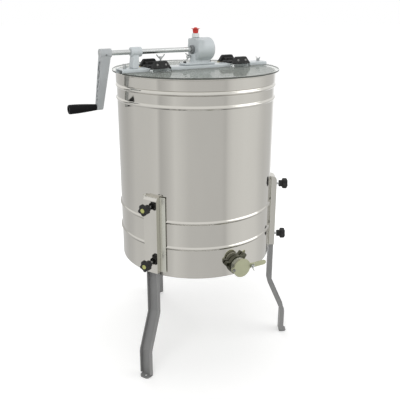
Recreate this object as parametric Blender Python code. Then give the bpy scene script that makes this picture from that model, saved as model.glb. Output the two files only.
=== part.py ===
"""Hand-cranked tangential honey extractor: a steel drum on three clamped legs,
a beam with a bevel gearbox across its rim, and a wire basket on a spindle.

Metres, +Z up.  The origin lies on the drum's axis, at the drum's lower edge.
The crank stands at -X, the honey gate at -Y.
"""
import math

import bmesh
import bpy
from mathutils import Vector

# Clearances
FIT = 0.0003              # gap kept between pieces that touch
RUN = 0.0005              # gap round a hole that a screw or pin passes
OVERRUN = 0.006           # how far a cutter passes the face it cuts

# Drum
DRUM_RADIUS = 0.250
DRUM_WALL = 0.0015
DRUM_HEIGHT = 0.6108
DRUM_SEGMENTS = 48
COLLAR_STEP = 0.0025
COLLAR_HEIGHT = 0.0350
RIM_ROLL = 0.0015
RIM_ROLL_HEIGHT = 0.005
BEAD_RISE = 0.004
BEAD_HALF = 0.0065
BEAD_CROWN_SHARE = 0.45
UPPER_BEAD_DROP = 0.0428
UPPER_BEAD_PITCH = 0.0390
LOWER_BEAD_HEIGHT = 0.0985
LOWER_BEAD_PITCH = 0.0835

# Floor and the bearing in its middle
FLOOR_SHEET = 0.0012
FLOOR_EDGE_HEIGHT = 0.010
FLOOR_RISE = 0.035
FLOOR_SKIRT = 0.006
BEARING_NECK_RADIUS = 0.015
BEARING_FLANGE_RADIUS = 0.028
BEARING_FLANGE = 0.004
BEARING_CUP_RADIUS = 0.0125
BEARING_CUP_HEIGHT = 0.016

# Basket
SPINDLE_RADIUS = 0.007
JOURNAL_RADIUS = 0.004
BASKET_CLEARANCE = 0.018
BASKET_LIFT = 0.085
BASKET_HEIGHT = 0.415
SPIDER_PLATE = 0.006
SPIDER_ARM_PLATE = 0.004
SPIDER_ARM = 0.016
SPIDER_BAR = 0.014
SPIDER_HUB_RADIUS = 0.016
SPIDER_HUB_HEIGHT = 0.020
SCREEN_PLATE = 0.004
SCREEN_BAR = 0.006
SCREEN_ROWS = 3
SCREEN_COLUMNS = 3
SCREEN_COUNT = 4

# Beam across the rim
BEAM_WIDTH = 0.050
BEAM_HEIGHT = 0.0139
BEAM_SHEET = 0.003
BEAM_CORNER = 0.004
BEAM_OVERHANG = 0.010
BEAM_STUD_INSET = 0.008
STUD_RADIUS = 0.003

# Brackets under the beam, inside the rim
BRACKET_WIDTH = 0.036
BRACKET_SHEET = 0.003
BRACKET_DEPTH = 0.020
BRACKET_HEIGHT = 0.034
BRACKET_DROP = 0.003

# Wing nuts and wing screws
WING_HUB_RADIUS = 0.0055
WING_HUB_HEIGHT = 0.007
WING_PLATE = 0.003
WING_SPAN = 0.024
WING_RISE = 0.014
WING_ROOT = 0.006
STUD_STANDOUT = 0.003

# Lids and their hinges
LID_SHEET = 0.0044
LID_OVERHANG = 0.0128
LID_GAP = 0.0015
LID_ARC_STEPS = 30
SPACER_WIDTH = 0.062
SPACER_HEIGHT = 0.009
SPACER_INSET = 0.001
HINGE_POST_GAP = 0.0115
HINGE_OFFSET = 0.028
HINGE_RISE = 0.0080
HINGE_REACH = 0.024
HINGE_BLOCK_HEIGHT = 0.0217
HINGE_BASE = 0.064
HINGE_PLATEAU = 0.037
HINGE_SLOPE = 0.005
KNUCKLE_RADIUS = 0.006
KNUCKLE_LENGTH = 0.018
KNUCKLE_ARM = 0.009
HINGE_PIN_RADIUS = 0.0025
LEAF_PLATE = 0.006
LEAF_INNER = 0.0045
LEAF_GAP = 0.0005

# Crank shaft and its bearing post
SHAFT_RISE = 0.0476
SHAFT_RADIUS = 0.0075
POST_INSET = 0.028
POST_TOP_DEPTH = 0.025
POST_FOOT_DEPTH = 0.019
POST_TOP_WIDTH = 0.020
POST_FOOT_WIDTH = 0.034
COLLAR_RADIUS = 0.0145
COLLAR_LENGTH = 0.035

# Gearbox
BOX_FRONT = 0.009
BOX_LENGTH = 0.064
BOX_RADIUS = 0.036
BOX_SQUARE_RISE = 0.0324
BOX_SQUARE_DEPTH = 0.021
BOX_WALL = 0.0055
BOX_FRONT_WALL = 0.0025
BOX_END = 0.011
BOX_DOME = 0.010
TUBE_RADIUS = 0.018
TUBE_GAP = 0.0012
TUBE_BORE = 0.0125
WELL_HEADROOM = 0.002
WELL_DEPTH = 0.005
SADDLE_SHARE = 0.85
BASE_FRONT = 0.049
BASE_BACK = 0.061
BASE_WIDTH = 0.040
BASE_PLATE = 0.0067
BOX_BOLT_INSET = 0.010
BOX_BOLT_RADIUS = 0.003
BOX_BOLT_HEAD_RADIUS = 0.0050
BOX_BOLT_HEAD = 0.0045
BUSH_RADIUS = 0.0126
BUSH_STANDOUT = 0.009
BUSH_SPIGOT_RADIUS = 0.0105
BUSH_SPIGOT = 0.002
NECK_RADIUS = 0.0115
NECK_HEIGHT = 0.012
NECK_SPIGOT_RADIUS = 0.0060
NECK_SPIGOT = 0.005
PLUG_STEM_RADIUS = 0.0035
PLUG_STEM = 0.008
PLUG_LOW_RADIUS = 0.008
PLUG_TOP_RADIUS = 0.010
PLUG_HEIGHT = 0.0132
PLUG_FLANGE_RADIUS = 0.0145
PLUG_FLANGE = 0.0012
PLUG_DOME_RADIUS = 0.006
PLUG_DOME = 0.0035

# Bevel gears
GEAR_TEETH = 18
PINION_TEETH = 6
MESH_RADIUS = 0.0245
TOOTH_REACH = 0.0035
TOOTH_OVERLAP = 0.001
TOOTH_ROOT = 0.0014
TOOTH_TIP_WIDTH = 0.0022
TOOTH_ROOT_WIDTH = 0.0034
GEAR_BLANK = 0.009
GEAR_FACE_RELIEF = 0.0006
PINION_FACE = 0.006

# Crank arm and grip
ARM_STANDOFF = 0.034
HUB_LENGTH = 0.034
HUB_RADIUS = 0.013
ARM_LENGTH = 0.180
ARM_HANG_DEGREES = 22.3
ARM_ROOT_DEPTH = 0.030
ARM_TIP_DEPTH = 0.020
ARM_ROOT_HALF = 0.0115
ARM_TIP_HALF = 0.0095
ARM_SETBACK = 0.0015
ARM_TIP_SETBACK = 0.0057
ARM_FLOOR = 0.003
ARM_RIM = 0.0022
ARM_POCKETS = 9
ARM_POCKET_SHARE = 0.72
SET_SCREW_RADIUS = 0.003
GRIP_LENGTH = 0.0873
GRIP_ROOT_RADIUS = 0.0095
GRIP_TIP_RADIUS = 0.0145
GRIP_TIP_ROUND = 0.004
GRIP_BOLT_RADIUS = 0.0045
GRIP_BOLT_HEAD_RADIUS = 0.0075
GRIP_BOLT_HEAD = 0.004
GRIP_BOLT_RECESS = 0.003

# Wing screws on the beam and on the gearbox
BEAM_SCREW_OFFSET = 0.123
BEAM_SCREW_STEM = 0.0236
BEAM_SCREW_DEPTH = 0.005
BOX_SCREW_HEIGHT = 0.0255
BOX_SCREW_STEM = 0.006
BOX_SCREW_DEPTH = 0.0035

# Leg holders
HOLDER_DEPTH = 0.0218
HOLDER_FACE = 0.0465
HOLDER_SHEET = 0.0015
HOLDER_FLANGE = 0.019
HOLDER_FOOT = 0.014
HOLDER_HEIGHT = 0.247
HOLDER_ROUND = 0.014
FLANGE_MARGIN = 0.006
KNOB_HEIGHT_LOW = 0.048
KNOB_PITCH = 0.182
STATIONS = (("left", -150), ("right", -30), ("rear", 90))

# Legs
LEG_WIDTH = 0.0385
LEG_DEPTH = 0.0152
LEG_SHEET = 0.0025
BEND_START = 0.130
BEND_END = 0.246
BEND_RADIUS = 0.030
BEND_STEPS = 3
LEG_SPREAD = 0.051
GROUND_DROP = 0.336
FOOT_PLATE = 0.003
FOOT_WIDTH = 0.033
FOOT_REACH = 0.0255
FOOT_HOLE_RADIUS = 0.004
FOOT_HOLE_REACH = 0.0115
LIP_CUT = 0.012

# Star knobs
KNOB_STUD_RADIUS = 0.004
KNOB_STANDOFF = 0.010
KNOB_HUB_RADIUS = 0.011
KNOB_HUB = 0.012
KNOB_HEAD = 0.016
KNOB_HEAD_RADIUS = 0.0165
KNOB_LOBE = 0.0018
KNOB_LOBES = 5
KNOB_CHAMFER = 0.002
KNOB_EDGE_SHARE = 0.86
POINTS_PER_LOBE = 4

# Honey gate
GATE_HEIGHT = 0.037
GATE_BORE_RADIUS = 0.0222
GATE_TUBE_RADIUS = 0.0253
GATE_INSIDE = 0.003
GATE_STANDOUT = 0.035
GATE_FACE_RADIUS = 0.0285
GATE_FACE = 0.0035
GATE_RING_RISE = 0.0014
GATE_RINGS = 2
GATE_RING_PITCH = 0.0042
GATE_EAR_HALF = 0.0075
GATE_PIVOT = 0.030
GATE_CLAMP = 0.036
FLAP_RADIUS = 0.030
FLAP_SHEET = 0.004
FLAP_TIP = 0.090
NUT_RADIUS = 0.030
NUT_LUG = 0.0135
NUT_LUGS = 3
NUT_TURN_DEGREES = 45
NUT_ARC_STEPS = 8
NUT_LUG_HALF = 0.0065
NUT_LENGTH = 0.013
GATE_PIN_RADIUS = 0.0025
GATE_PIN_HEAD_RADIUS = 0.005
GATE_PIN_HEAD = 0.0025
GATE_PIN_TAIL = 0.001
CLAMP_HEAD_RADIUS = 0.006
CLAMP_HEAD = 0.003

# Mesh settings
ROUND_STEPS = 16
SMALL_STEPS = 10
BARREL_STEPS = 24
MERGE_GAP = 0.000001
SHARP_ANGLE = math.radians(35)

# Heights and radii that the sizes above give
DRUM_INNER = DRUM_RADIUS - DRUM_WALL
BEAM_BOTTOM = DRUM_HEIGHT + FIT
BEAM_TOP = BEAM_BOTTOM + BEAM_HEIGHT
BEAM_STUD_X = DRUM_RADIUS - BEAM_STUD_INSET
SHAFT_HEIGHT = BEAM_TOP + SHAFT_RISE
LID_TOP = DRUM_HEIGHT + FIT + LID_SHEET
LID_RADIUS = DRUM_RADIUS + LID_OVERHANG
LID_EDGE = BEAM_WIDTH / 2 + LID_GAP
HINGE_HEIGHT = BEAM_TOP + HINGE_RISE
HINGE_SPREAD = DRUM_RADIUS - POST_INSET - COLLAR_LENGTH - HINGE_POST_GAP - HINGE_BASE / 2
FLOOR_APEX = FLOOR_EDGE_HEIGHT + FLOOR_RISE
BASKET_CORNER = DRUM_RADIUS - BASKET_CLEARANCE
BASKET_SIDE = BASKET_CORNER * math.cos(math.pi / SCREEN_COUNT)
HUB_OUTER_X = -(DRUM_RADIUS + ARM_STANDOFF + HUB_LENGTH)
ARM_OUTER_X = HUB_OUTER_X + ARM_SETBACK
HOLDER_FACE_RADIUS = DRUM_RADIUS + HOLDER_DEPTH
LEG_LIP_RADIUS = HOLDER_FACE_RADIUS - HOLDER_SHEET - FIT
LEG_BACK_RADIUS = LEG_LIP_RADIUS - LEG_DEPTH
HOLDER_TOP = HOLDER_FOOT + HOLDER_HEIGHT
LEG_TOP = HOLDER_TOP - HOLDER_SHEET - FIT
BOX_BACK = BOX_LENGTH - BOX_FRONT
SQUARE_TOP = SHAFT_HEIGHT + BOX_SQUARE_RISE
GEAR_RATIO = GEAR_TEETH / PINION_TEETH
PINION_PITCH_RADIUS = MESH_RADIUS / GEAR_RATIO
PINION_MIDDLE = SHAFT_HEIGHT - MESH_RADIUS
TUBE_TOP = SHAFT_HEIGHT - BUSH_RADIUS - TUBE_GAP
GATE_SEAT = DRUM_RADIUS + GATE_STANDOUT

# Colour, roughness and metallic value of each finish
FINISHES = {
    "mirror_steel": ((0.62, 0.61, 0.57), 0.12, 1.0),
    "satin_steel": ((0.55, 0.55, 0.54), 0.30, 1.0),
    "zinc_steel": ((0.60, 0.60, 0.60), 0.35, 1.0),
    "leg_grey": ((0.27, 0.27, 0.27), 0.45, 0.0),
    "pale_grey": ((0.55, 0.58, 0.60), 0.40, 0.0),
    "dark_grey": ((0.09, 0.09, 0.09), 0.45, 0.0),
    "black_plastic": ((0.012, 0.012, 0.012), 0.40, 0.0),
    "clear_acrylic": ((0.80, 0.86, 0.80), 0.05, 0.0),
    "white_plastic": ((0.75, 0.77, 0.76), 0.25, 0.0),
    "red_plastic": ((0.60, 0.03, 0.02), 0.35, 0.0),
}


# Scene helpers
def clear_scene():
    for item in list(bpy.data.objects):
        bpy.data.objects.remove(item, do_unlink=True)


def make_material(name, finish):
    color, roughness, metallic = FINISHES[finish]
    material = bpy.data.materials.new(name + "_finish")
    material.use_nodes = True
    shader = material.node_tree.nodes["Principled BSDF"]
    shader.inputs["Base Color"].default_value = (*color, 1.0)
    shader.inputs["Roughness"].default_value = roughness
    shader.inputs["Metallic"].default_value = metallic
    return material


def make_mesh(name, corners, faces):
    """A closed mesh with its faces pointing out and its round sides smooth."""
    mesh = bpy.data.meshes.new(name)
    mesh.from_pydata(corners, [], faces)
    shape = bmesh.new()
    shape.from_mesh(mesh)
    bmesh.ops.remove_doubles(shape, verts=shape.verts, dist=MERGE_GAP)
    bmesh.ops.recalc_face_normals(shape, faces=shape.faces)
    shape.to_mesh(mesh)
    shape.free()
    mesh.shade_smooth()
    mesh.set_sharp_from_angle(angle=SHARP_ANGLE)
    return mesh


def place(name, mesh, finish=None, at=(0, 0, 0), turn=(0, 0, 0), parent=None):
    """Put a mesh into the scene as a named object; without a finish it is a helper."""
    item = bpy.data.objects.new(name, mesh)
    bpy.context.collection.objects.link(item)
    item.location = at
    item.rotation_euler = turn
    item.parent = parent
    if finish:
        if mesh.materials:
            item.material_slots[0].link = "OBJECT"
            item.material_slots[0].material = make_material(name, finish)
        else:
            mesh.materials.append(make_material(name, finish))
    else:
        item.hide_render = True
        item.display_type = "WIRE"
    return item


def pivot(name, at=(0, 0, 0), turn=(0, 0, 0), parent=None):
    """An empty on a joint's axis or at a place round the drum."""
    item = bpy.data.objects.new(name, None)
    bpy.context.collection.objects.link(item)
    item.location = at
    item.rotation_euler = turn
    item.parent = parent
    return item


def combine(target, tool, operation):
    step = target.modifiers.new(tool.name, "BOOLEAN")
    step.operation = operation
    step.solver = "EXACT"
    step.object = tool


def cut(target, *tools):
    for tool in tools:
        combine(target, tool, "DIFFERENCE")


def fuse(target, *tools):
    for tool in tools:
        combine(target, tool, "UNION")


# Shape helpers
def along(axis, first, second, height):
    """A point from its two cross coordinates and its height along an axis."""
    if axis == "X":
        return (height, first, second)
    if axis == "Y":
        return (first, height, second)
    return (first, second, height)


def turned(name, outline, axis="Z", steps=ROUND_STEPS, start=0.0, closed=True):
    """Revolve (radius, height) points; an open outline starts and ends on the axis."""
    corners = []
    rings = []
    for radius, height in outline:
        if radius == 0:
            rings.append([len(corners)] * steps)
            corners.append(along(axis, 0, 0, height))
            continue
        ring = []
        for step in range(steps):
            angle = start + math.tau * step / steps
            ring.append(len(corners))
            corners.append(along(axis, radius * math.cos(angle), radius * math.sin(angle), height))
        rings.append(ring)
    pairs = list(zip(rings, rings[1:]))
    if closed:
        pairs.append((rings[-1], rings[0]))
    faces = []
    for upper, lower in pairs:
        for step in range(steps):
            after = (step + 1) % steps
            face = [upper[step], upper[after], lower[after], lower[step]]
            faces.append(list(dict.fromkeys(face)))
    return make_mesh(name, corners, faces)


def rod(name, radius, low, high, axis="Z", steps=SMALL_STEPS):
    """A plain round bar along an axis."""
    outline = [(0, high), (radius, high), (radius, low), (0, low)]
    return turned(name, outline, axis, steps, closed=False)


def prism(name, outline, low, high, axis="Z"):
    """Extrude an outline of cross coordinates from low to high along an axis.

    low and high are heights, or functions that give the height of each point.
    """
    count = len(outline)
    corners = []
    for level in (low, high):
        for first, second in outline:
            height = level(first, second) if callable(level) else level
            corners.append(along(axis, first, second, height))
    faces = [list(range(count)), list(range(count, 2 * count))]
    for index in range(count):
        after = (index + 1) % count
        faces.append([index, after, count + after, count + index])
    return make_mesh(name, corners, faces)


def block(name, low, high):
    outline = [(low[0], low[1]), (high[0], low[1]), (high[0], high[1]), (low[0], high[1])]
    return prism(name, outline, low[2], high[2])


def frustum(name, low_sides, high_sides, low, high):
    """A block whose bottom and top rectangles differ: sides are (x0, x1, y0, y1)."""
    corners = []
    for (x0, x1, y0, y1), height in ((low_sides, low), (high_sides, high)):
        corners += [(x0, y0, height), (x1, y0, height), (x1, y1, height), (x0, y1, height)]
    faces = [[0, 1, 2, 3], [4, 5, 6, 7]]
    for index in range(4):
        after = (index + 1) % 4
        faces.append([index, after, 4 + after, 4 + index])
    return make_mesh(name, corners, faces)


def arc(radius, start, end, steps, middle=(0, 0)):
    """Points on an arc between two angles, ends included."""
    points = []
    for step in range(steps + 1):
        angle = start + (end - start) * step / steps
        points.append((middle[0] + radius * math.cos(angle), middle[1] + radius * math.sin(angle)))
    return points


def several(name, meshes):
    """Join helper meshes that stay separate closed bodies inside one cutter."""
    shape = bmesh.new()
    for mesh in meshes:
        shape.from_mesh(mesh)
    joined = bpy.data.meshes.new(name)
    shape.to_mesh(joined)
    shape.free()
    return joined


def chord(radius, half_width):
    """Distance from the drum's axis to a chord of this half width."""
    return math.sqrt(radius * radius - half_width * half_width)


# Drum, floor and bearing
def bead_points(height):
    crown = BEAD_HALF * BEAD_CROWN_SHARE
    top = DRUM_RADIUS + BEAD_RISE
    return [(DRUM_RADIUS, height + BEAD_HALF), (top, height + crown),
            (top, height - crown), (DRUM_RADIUS, height - BEAD_HALF)]


def bead_heights():
    upper = DRUM_HEIGHT - UPPER_BEAD_DROP
    return (upper, upper - UPPER_BEAD_PITCH,
            LOWER_BEAD_HEIGHT + LOWER_BEAD_PITCH, LOWER_BEAD_HEIGHT)


def build_drum():
    collar = DRUM_RADIUS + COLLAR_STEP
    rim = collar + RIM_ROLL
    foot = DRUM_HEIGHT - COLLAR_HEIGHT
    outline = [(DRUM_INNER, DRUM_HEIGHT), (rim, DRUM_HEIGHT),
               (rim, DRUM_HEIGHT - RIM_ROLL_HEIGHT),
               (collar, DRUM_HEIGHT - RIM_ROLL_HEIGHT - RIM_ROLL),
               (collar, foot + RIM_ROLL), (DRUM_RADIUS, foot)]
    for height in bead_heights():
        outline += bead_points(height)
    outline += [(DRUM_RADIUS, 0), (DRUM_INNER, 0)]
    shell = place("drum_shell", turned("drum_shell", outline, steps=DRUM_SEGMENTS), "mirror_steel")
    hole = rod("cut_gate_hole", GATE_TUBE_RADIUS + FIT, -(DRUM_RADIUS + OVERRUN),
               -(DRUM_INNER - OVERRUN), "Y", ROUND_STEPS)
    cut(shell, place("cut_gate_hole", hole, at=(0, 0, GATE_HEIGHT)))


def build_floor():
    edge = DRUM_INNER - FIT
    hole = BEARING_NECK_RADIUS + FIT
    skirt = FLOOR_EDGE_HEIGHT - FLOOR_SKIRT
    outline = [(hole, FLOOR_APEX), (edge, FLOOR_EDGE_HEIGHT), (edge, skirt),
               (edge - FLOOR_SHEET, skirt), (edge - FLOOR_SHEET, FLOOR_EDGE_HEIGHT - FLOOR_SHEET),
               (hole, FLOOR_APEX - FLOOR_SHEET)]
    place("drum_floor", turned("drum_floor", outline, steps=DRUM_SEGMENTS), "satin_steel")


def build_bearing():
    seat = FLOOR_APEX + FIT
    flange = seat + BEARING_FLANGE
    cup = flange + BEARING_CUP_HEIGHT
    bore = SPINDLE_RADIUS + FIT
    outline = [(0, seat), (bore, seat), (bore, cup), (BEARING_CUP_RADIUS, cup),
               (BEARING_CUP_RADIUS, flange), (BEARING_FLANGE_RADIUS, flange),
               (BEARING_FLANGE_RADIUS, seat), (BEARING_NECK_RADIUS, seat),
               (BEARING_NECK_RADIUS, 0), (0, 0)]
    place("floor_bearing", turned("floor_bearing", outline, closed=False), "white_plastic")


# Basket on its spindle
def build_spindle(basket):
    shoulder = PINION_MIDDLE - PINION_FACE / 2 - FIT
    top = PINION_MIDDLE + PINION_FACE / 2 + FIT
    outline = [(0, top), (JOURNAL_RADIUS, top), (JOURNAL_RADIUS, shoulder),
               (SPINDLE_RADIUS, shoulder), (SPINDLE_RADIUS, FLOOR_APEX + 2 * FIT),
               (0, FLOOR_APEX + 2 * FIT)]
    mesh = turned("basket_spindle", outline, steps=ROUND_STEPS, closed=False)
    place("basket_spindle", mesh, "satin_steel", parent=basket)


def build_spider(name, height, basket):
    """Square rim, two crossed arms and a hub on the spindle."""
    bar = SPIDER_BAR / math.cos(math.pi / SCREEN_COUNT)
    half = SPIDER_PLATE / 2
    rim = [(BASKET_CORNER, half), (BASKET_CORNER, -half),
           (BASKET_CORNER - bar, -half), (BASKET_CORNER - bar, half)]
    turn = math.pi / SCREEN_COUNT
    spider = place(name, turned(name, rim, steps=SCREEN_COUNT, start=turn),
                   "satin_steel", (0, 0, height), parent=basket)
    reach = BASKET_CORNER - bar / 2
    arm = block(name + "_arm", (-reach, -SPIDER_ARM / 2, -SPIDER_ARM_PLATE / 2),
                (reach, SPIDER_ARM / 2, SPIDER_ARM_PLATE / 2))
    for side in (-1, 1):
        helper = place(f"{name}_arm_{side}", arm, at=(0, 0, height), turn=(0, 0, side * turn),
                       parent=basket)
        fuse(spider, helper)
    hub = rod(name + "_hub", SPIDER_HUB_RADIUS, -SPIDER_HUB_HEIGHT / 2, SPIDER_HUB_HEIGHT / 2,
              steps=ROUND_STEPS)
    bore = rod(name + "_bore", SPINDLE_RADIUS + FIT, -SPIDER_HUB_HEIGHT, SPIDER_HUB_HEIGHT,
               steps=ROUND_STEPS)
    fuse(spider, place(name + "_hub", hub, at=(0, 0, height), parent=basket))
    cut(spider, place(name + "_bore", bore, at=(0, 0, height), parent=basket))


def lattice(name, half_width, low, high, depth, middle):
    """A flat grille: bars round rectangular holes, as one closed body."""
    across = grid_lines(-half_width, half_width, SCREEN_COLUMNS)
    upward = grid_lines(low, high, SCREEN_ROWS)
    columns = len(across) - 1
    rows = len(upward) - 1

    def solid(column, row):
        inside = 0 <= column < columns and 0 <= row < rows
        return inside and not (column % 2 == 1 and row % 2 == 1)

    corners = []
    faces = []

    def quad(points):
        first = len(corners)
        corners.extend(points)
        faces.append([first, first + 1, first + 2, first + 3])

    front, back = middle - depth / 2, middle + depth / 2
    for column in range(columns):
        for row in range(rows):
            if not solid(column, row):
                continue
            a, b = across[column], across[column + 1]
            c, d = upward[row], upward[row + 1]
            for x in (front, back):
                quad([(x, a, c), (x, b, c), (x, b, d), (x, a, d)])
            if not solid(column - 1, row):
                quad([(front, a, c), (back, a, c), (back, a, d), (front, a, d)])
            if not solid(column + 1, row):
                quad([(front, b, c), (back, b, c), (back, b, d), (front, b, d)])
            if not solid(column, row - 1):
                quad([(front, a, c), (front, b, c), (back, b, c), (back, a, c)])
            if not solid(column, row + 1):
                quad([(front, a, d), (front, b, d), (back, b, d), (back, a, d)])
    return make_mesh(name, corners, faces)


def grid_lines(low, high, holes):
    """Edges of the bars and holes, in order, over a span."""
    step = (high - low - SCREEN_BAR) / holes
    lines = []
    for index in range(holes + 1):
        lines += [low + index * step, low + index * step + SCREEN_BAR]
    return lines


def build_basket():
    basket = pivot("basket_axis")
    build_spindle(basket)
    top = BASKET_LIFT + BASKET_HEIGHT
    build_spider("bottom_spider", BASKET_LIFT, basket)
    build_spider("top_spider", top, basket)
    middle = BASKET_SIDE - SPIDER_BAR / 2
    half = middle - SCREEN_PLATE / 2 - FIT
    low = BASKET_LIFT + SPIDER_PLATE / 2 + FIT
    high = top - SPIDER_PLATE / 2 - FIT
    mesh = lattice("basket_screen", half, low, high, SCREEN_PLATE, middle)
    for index in range(SCREEN_COUNT):
        place(f"basket_screen_{index + 1}", mesh, "satin_steel",
              turn=(0, 0, math.tau * index / SCREEN_COUNT), parent=basket)
    build_pinion(basket)


def build_pinion(basket):
    outline = []
    tip = PINION_PITCH_RADIUS + TOOTH_OVERLAP
    root = PINION_PITCH_RADIUS - TOOTH_ROOT
    for tooth in range(PINION_TEETH):
        middle = math.tau * tooth / PINION_TEETH
        for radius, width in ((root, -TOOTH_ROOT_WIDTH), (tip, -TOOTH_TIP_WIDTH),
                              (tip, TOOTH_TIP_WIDTH), (root, TOOTH_ROOT_WIDTH)):
            angle = middle + width / 2 / radius
            outline.append((radius * math.cos(angle), radius * math.sin(angle)))
    half = PINION_FACE / 2
    pinion = place("spindle_pinion", prism("spindle_pinion", outline, -half, half),
                   "zinc_steel", (0, 0, PINION_MIDDLE), parent=basket)
    bore = rod("cut_pinion_bore", JOURNAL_RADIUS + FIT, -PINION_FACE, PINION_FACE)
    cut(pinion, place("cut_pinion_bore", bore, at=(0, 0, PINION_MIDDLE), parent=basket))


# Beam, its brackets and its wing nuts
def build_beam():
    half = BEAM_WIDTH / 2
    inner = half - BEAM_SHEET
    corner = BEAM_TOP - BEAM_CORNER
    roof = BEAM_TOP - BEAM_SHEET
    right = arc(BEAM_CORNER, 0, math.pi / 2, 3, (half - BEAM_CORNER, corner))
    left = arc(BEAM_CORNER, math.pi / 2, math.pi, 3, (BEAM_CORNER - half, corner))
    outline = [(half, BEAM_BOTTOM), *right, *left, (-half, BEAM_BOTTOM),
               (-inner, BEAM_BOTTOM), (-inner, roof), (inner, roof), (inner, BEAM_BOTTOM)]
    reach = DRUM_RADIUS + BEAM_OVERHANG
    beam = place("beam", prism("beam", outline, -reach, reach, "X"), "pale_grey")
    holes = [(0, SPINDLE_RADIUS + RUN, ROUND_STEPS),
             (-BEAM_STUD_X, STUD_RADIUS + RUN, SMALL_STEPS),
             (BEAM_STUD_X, STUD_RADIUS + RUN, SMALL_STEPS),
             (BOX_BOLT_INSET - BASE_FRONT, BOX_BOLT_RADIUS + RUN, SMALL_STEPS),
             (BASE_BACK - BOX_BOLT_INSET, BOX_BOLT_RADIUS + RUN, SMALL_STEPS),
             (-BEAM_SCREW_OFFSET, STUD_RADIUS + RUN, SMALL_STEPS)]
    for index, (x, radius, steps) in enumerate(holes):
        name = f"cut_beam_hole_{index}"
        hole = rod(name, radius, roof - OVERRUN, BEAM_TOP + OVERRUN, steps=steps)
        cut(beam, place(name, hole, at=(x, 0, 0)))


def build_brackets():
    """Angle brackets inside the rim, each with a welded stud up through the beam."""
    face = chord(DRUM_INNER * math.cos(math.pi / DRUM_SEGMENTS), BRACKET_WIDTH / 2) - FIT
    top = BEAM_BOTTOM - BRACKET_DROP
    low = top - BRACKET_HEIGHT
    shelf = top - BRACKET_SHEET
    inner = face - BRACKET_DEPTH
    outline = [(face, low), (face, top), (inner, top), (inner, shelf),
               (face - BRACKET_SHEET, shelf), (face - BRACKET_SHEET, low)]
    half = BRACKET_WIDTH / 2
    mesh = prism("rim_bracket", outline, -half, half, "Y")
    stud_top = BEAM_TOP + FIT + WING_HUB_HEIGHT + STUD_STANDOUT
    stud = rod("bracket_stud", STUD_RADIUS, (shelf + top) / 2, stud_top)
    for side, turn in (("right", 0), ("left", math.pi)):
        station = pivot(f"bracket_{side}", turn=(0, 0, turn))
        bracket = place(f"rim_bracket_{side}", mesh, "zinc_steel", parent=station)
        fuse(bracket, place(f"bracket_stud_{side}", stud, at=(BEAM_STUD_X, 0, 0), parent=station))
        build_wings(f"beam_wing_nut_{side}", (BEAM_STUD_X, 0, BEAM_TOP + FIT), station,
                    bore=STUD_RADIUS + RUN)


def build_wings(name, at, parent, stem=0, turn=(0, 0, 0), bore=0, spin=math.pi / 2):
    """A wing nut or wing screw standing on its hub, its stem pointing down."""
    outline = [(0, WING_HUB_HEIGHT), (WING_HUB_RADIUS, WING_HUB_HEIGHT), (WING_HUB_RADIUS, 0)]
    if stem:
        outline += [(STUD_RADIUS, 0), (STUD_RADIUS, -stem), (0, -stem)]
    else:
        outline += [(0, 0)]
    frame = pivot(name + "_axis", at, turn, parent)
    hub = place(name, turned(name, outline, steps=SMALL_STEPS, closed=False), "zinc_steel",
                parent=frame)
    half = WING_SPAN / 2
    low = WING_HUB_HEIGHT - WING_ROOT
    tip = half - WING_PLATE
    wing = [(-half, WING_RISE), (-half + WING_PLATE / 2, WING_ROOT), (-WING_HUB_RADIUS / 2, low),
            (WING_HUB_RADIUS / 2, low), (half - WING_PLATE / 2, WING_ROOT), (half, WING_RISE),
            (tip, WING_RISE), (WING_HUB_RADIUS / 2, WING_ROOT), (-WING_HUB_RADIUS / 2, WING_ROOT),
            (-tip, WING_RISE)]
    mesh = prism(name + "_wings", wing, -WING_PLATE / 2, WING_PLATE / 2, "Y")
    fuse(hub, place(name + "_wings", mesh, turn=(0, 0, spin), parent=frame))
    if bore:
        hole = rod(name + "_bore", bore, -OVERRUN, WING_RISE + OVERRUN)
        cut(hub, place(name + "_bore", hole, parent=frame))


# Lids and hinges, drawn for the +Y side with the hinge axis at the origin
def build_lid(name, swing):
    edge = LID_EDGE - HINGE_OFFSET
    bottom = DRUM_HEIGHT + FIT - HINGE_HEIGHT
    top = LID_TOP - HINGE_HEIGHT
    start = math.asin(LID_EDGE / LID_RADIUS)
    rim = arc(LID_RADIUS, start, math.pi - start, LID_ARC_STEPS, (0, -HINGE_OFFSET))
    lid = place(name, prism(name, rim, bottom, top), "clear_acrylic", parent=swing)
    for side in (-1, 1):
        middle = side * HINGE_SPREAD
        low = (middle - SPACER_WIDTH / 2, edge + SPACER_INSET, (bottom + top) / 2)
        high = (middle + SPACER_WIDTH / 2, HINGE_REACH, top + SPACER_HEIGHT)
        helper = f"{name}_spacer_{side}"
        fuse(lid, place(helper, block(helper, low, high), parent=swing))


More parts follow.
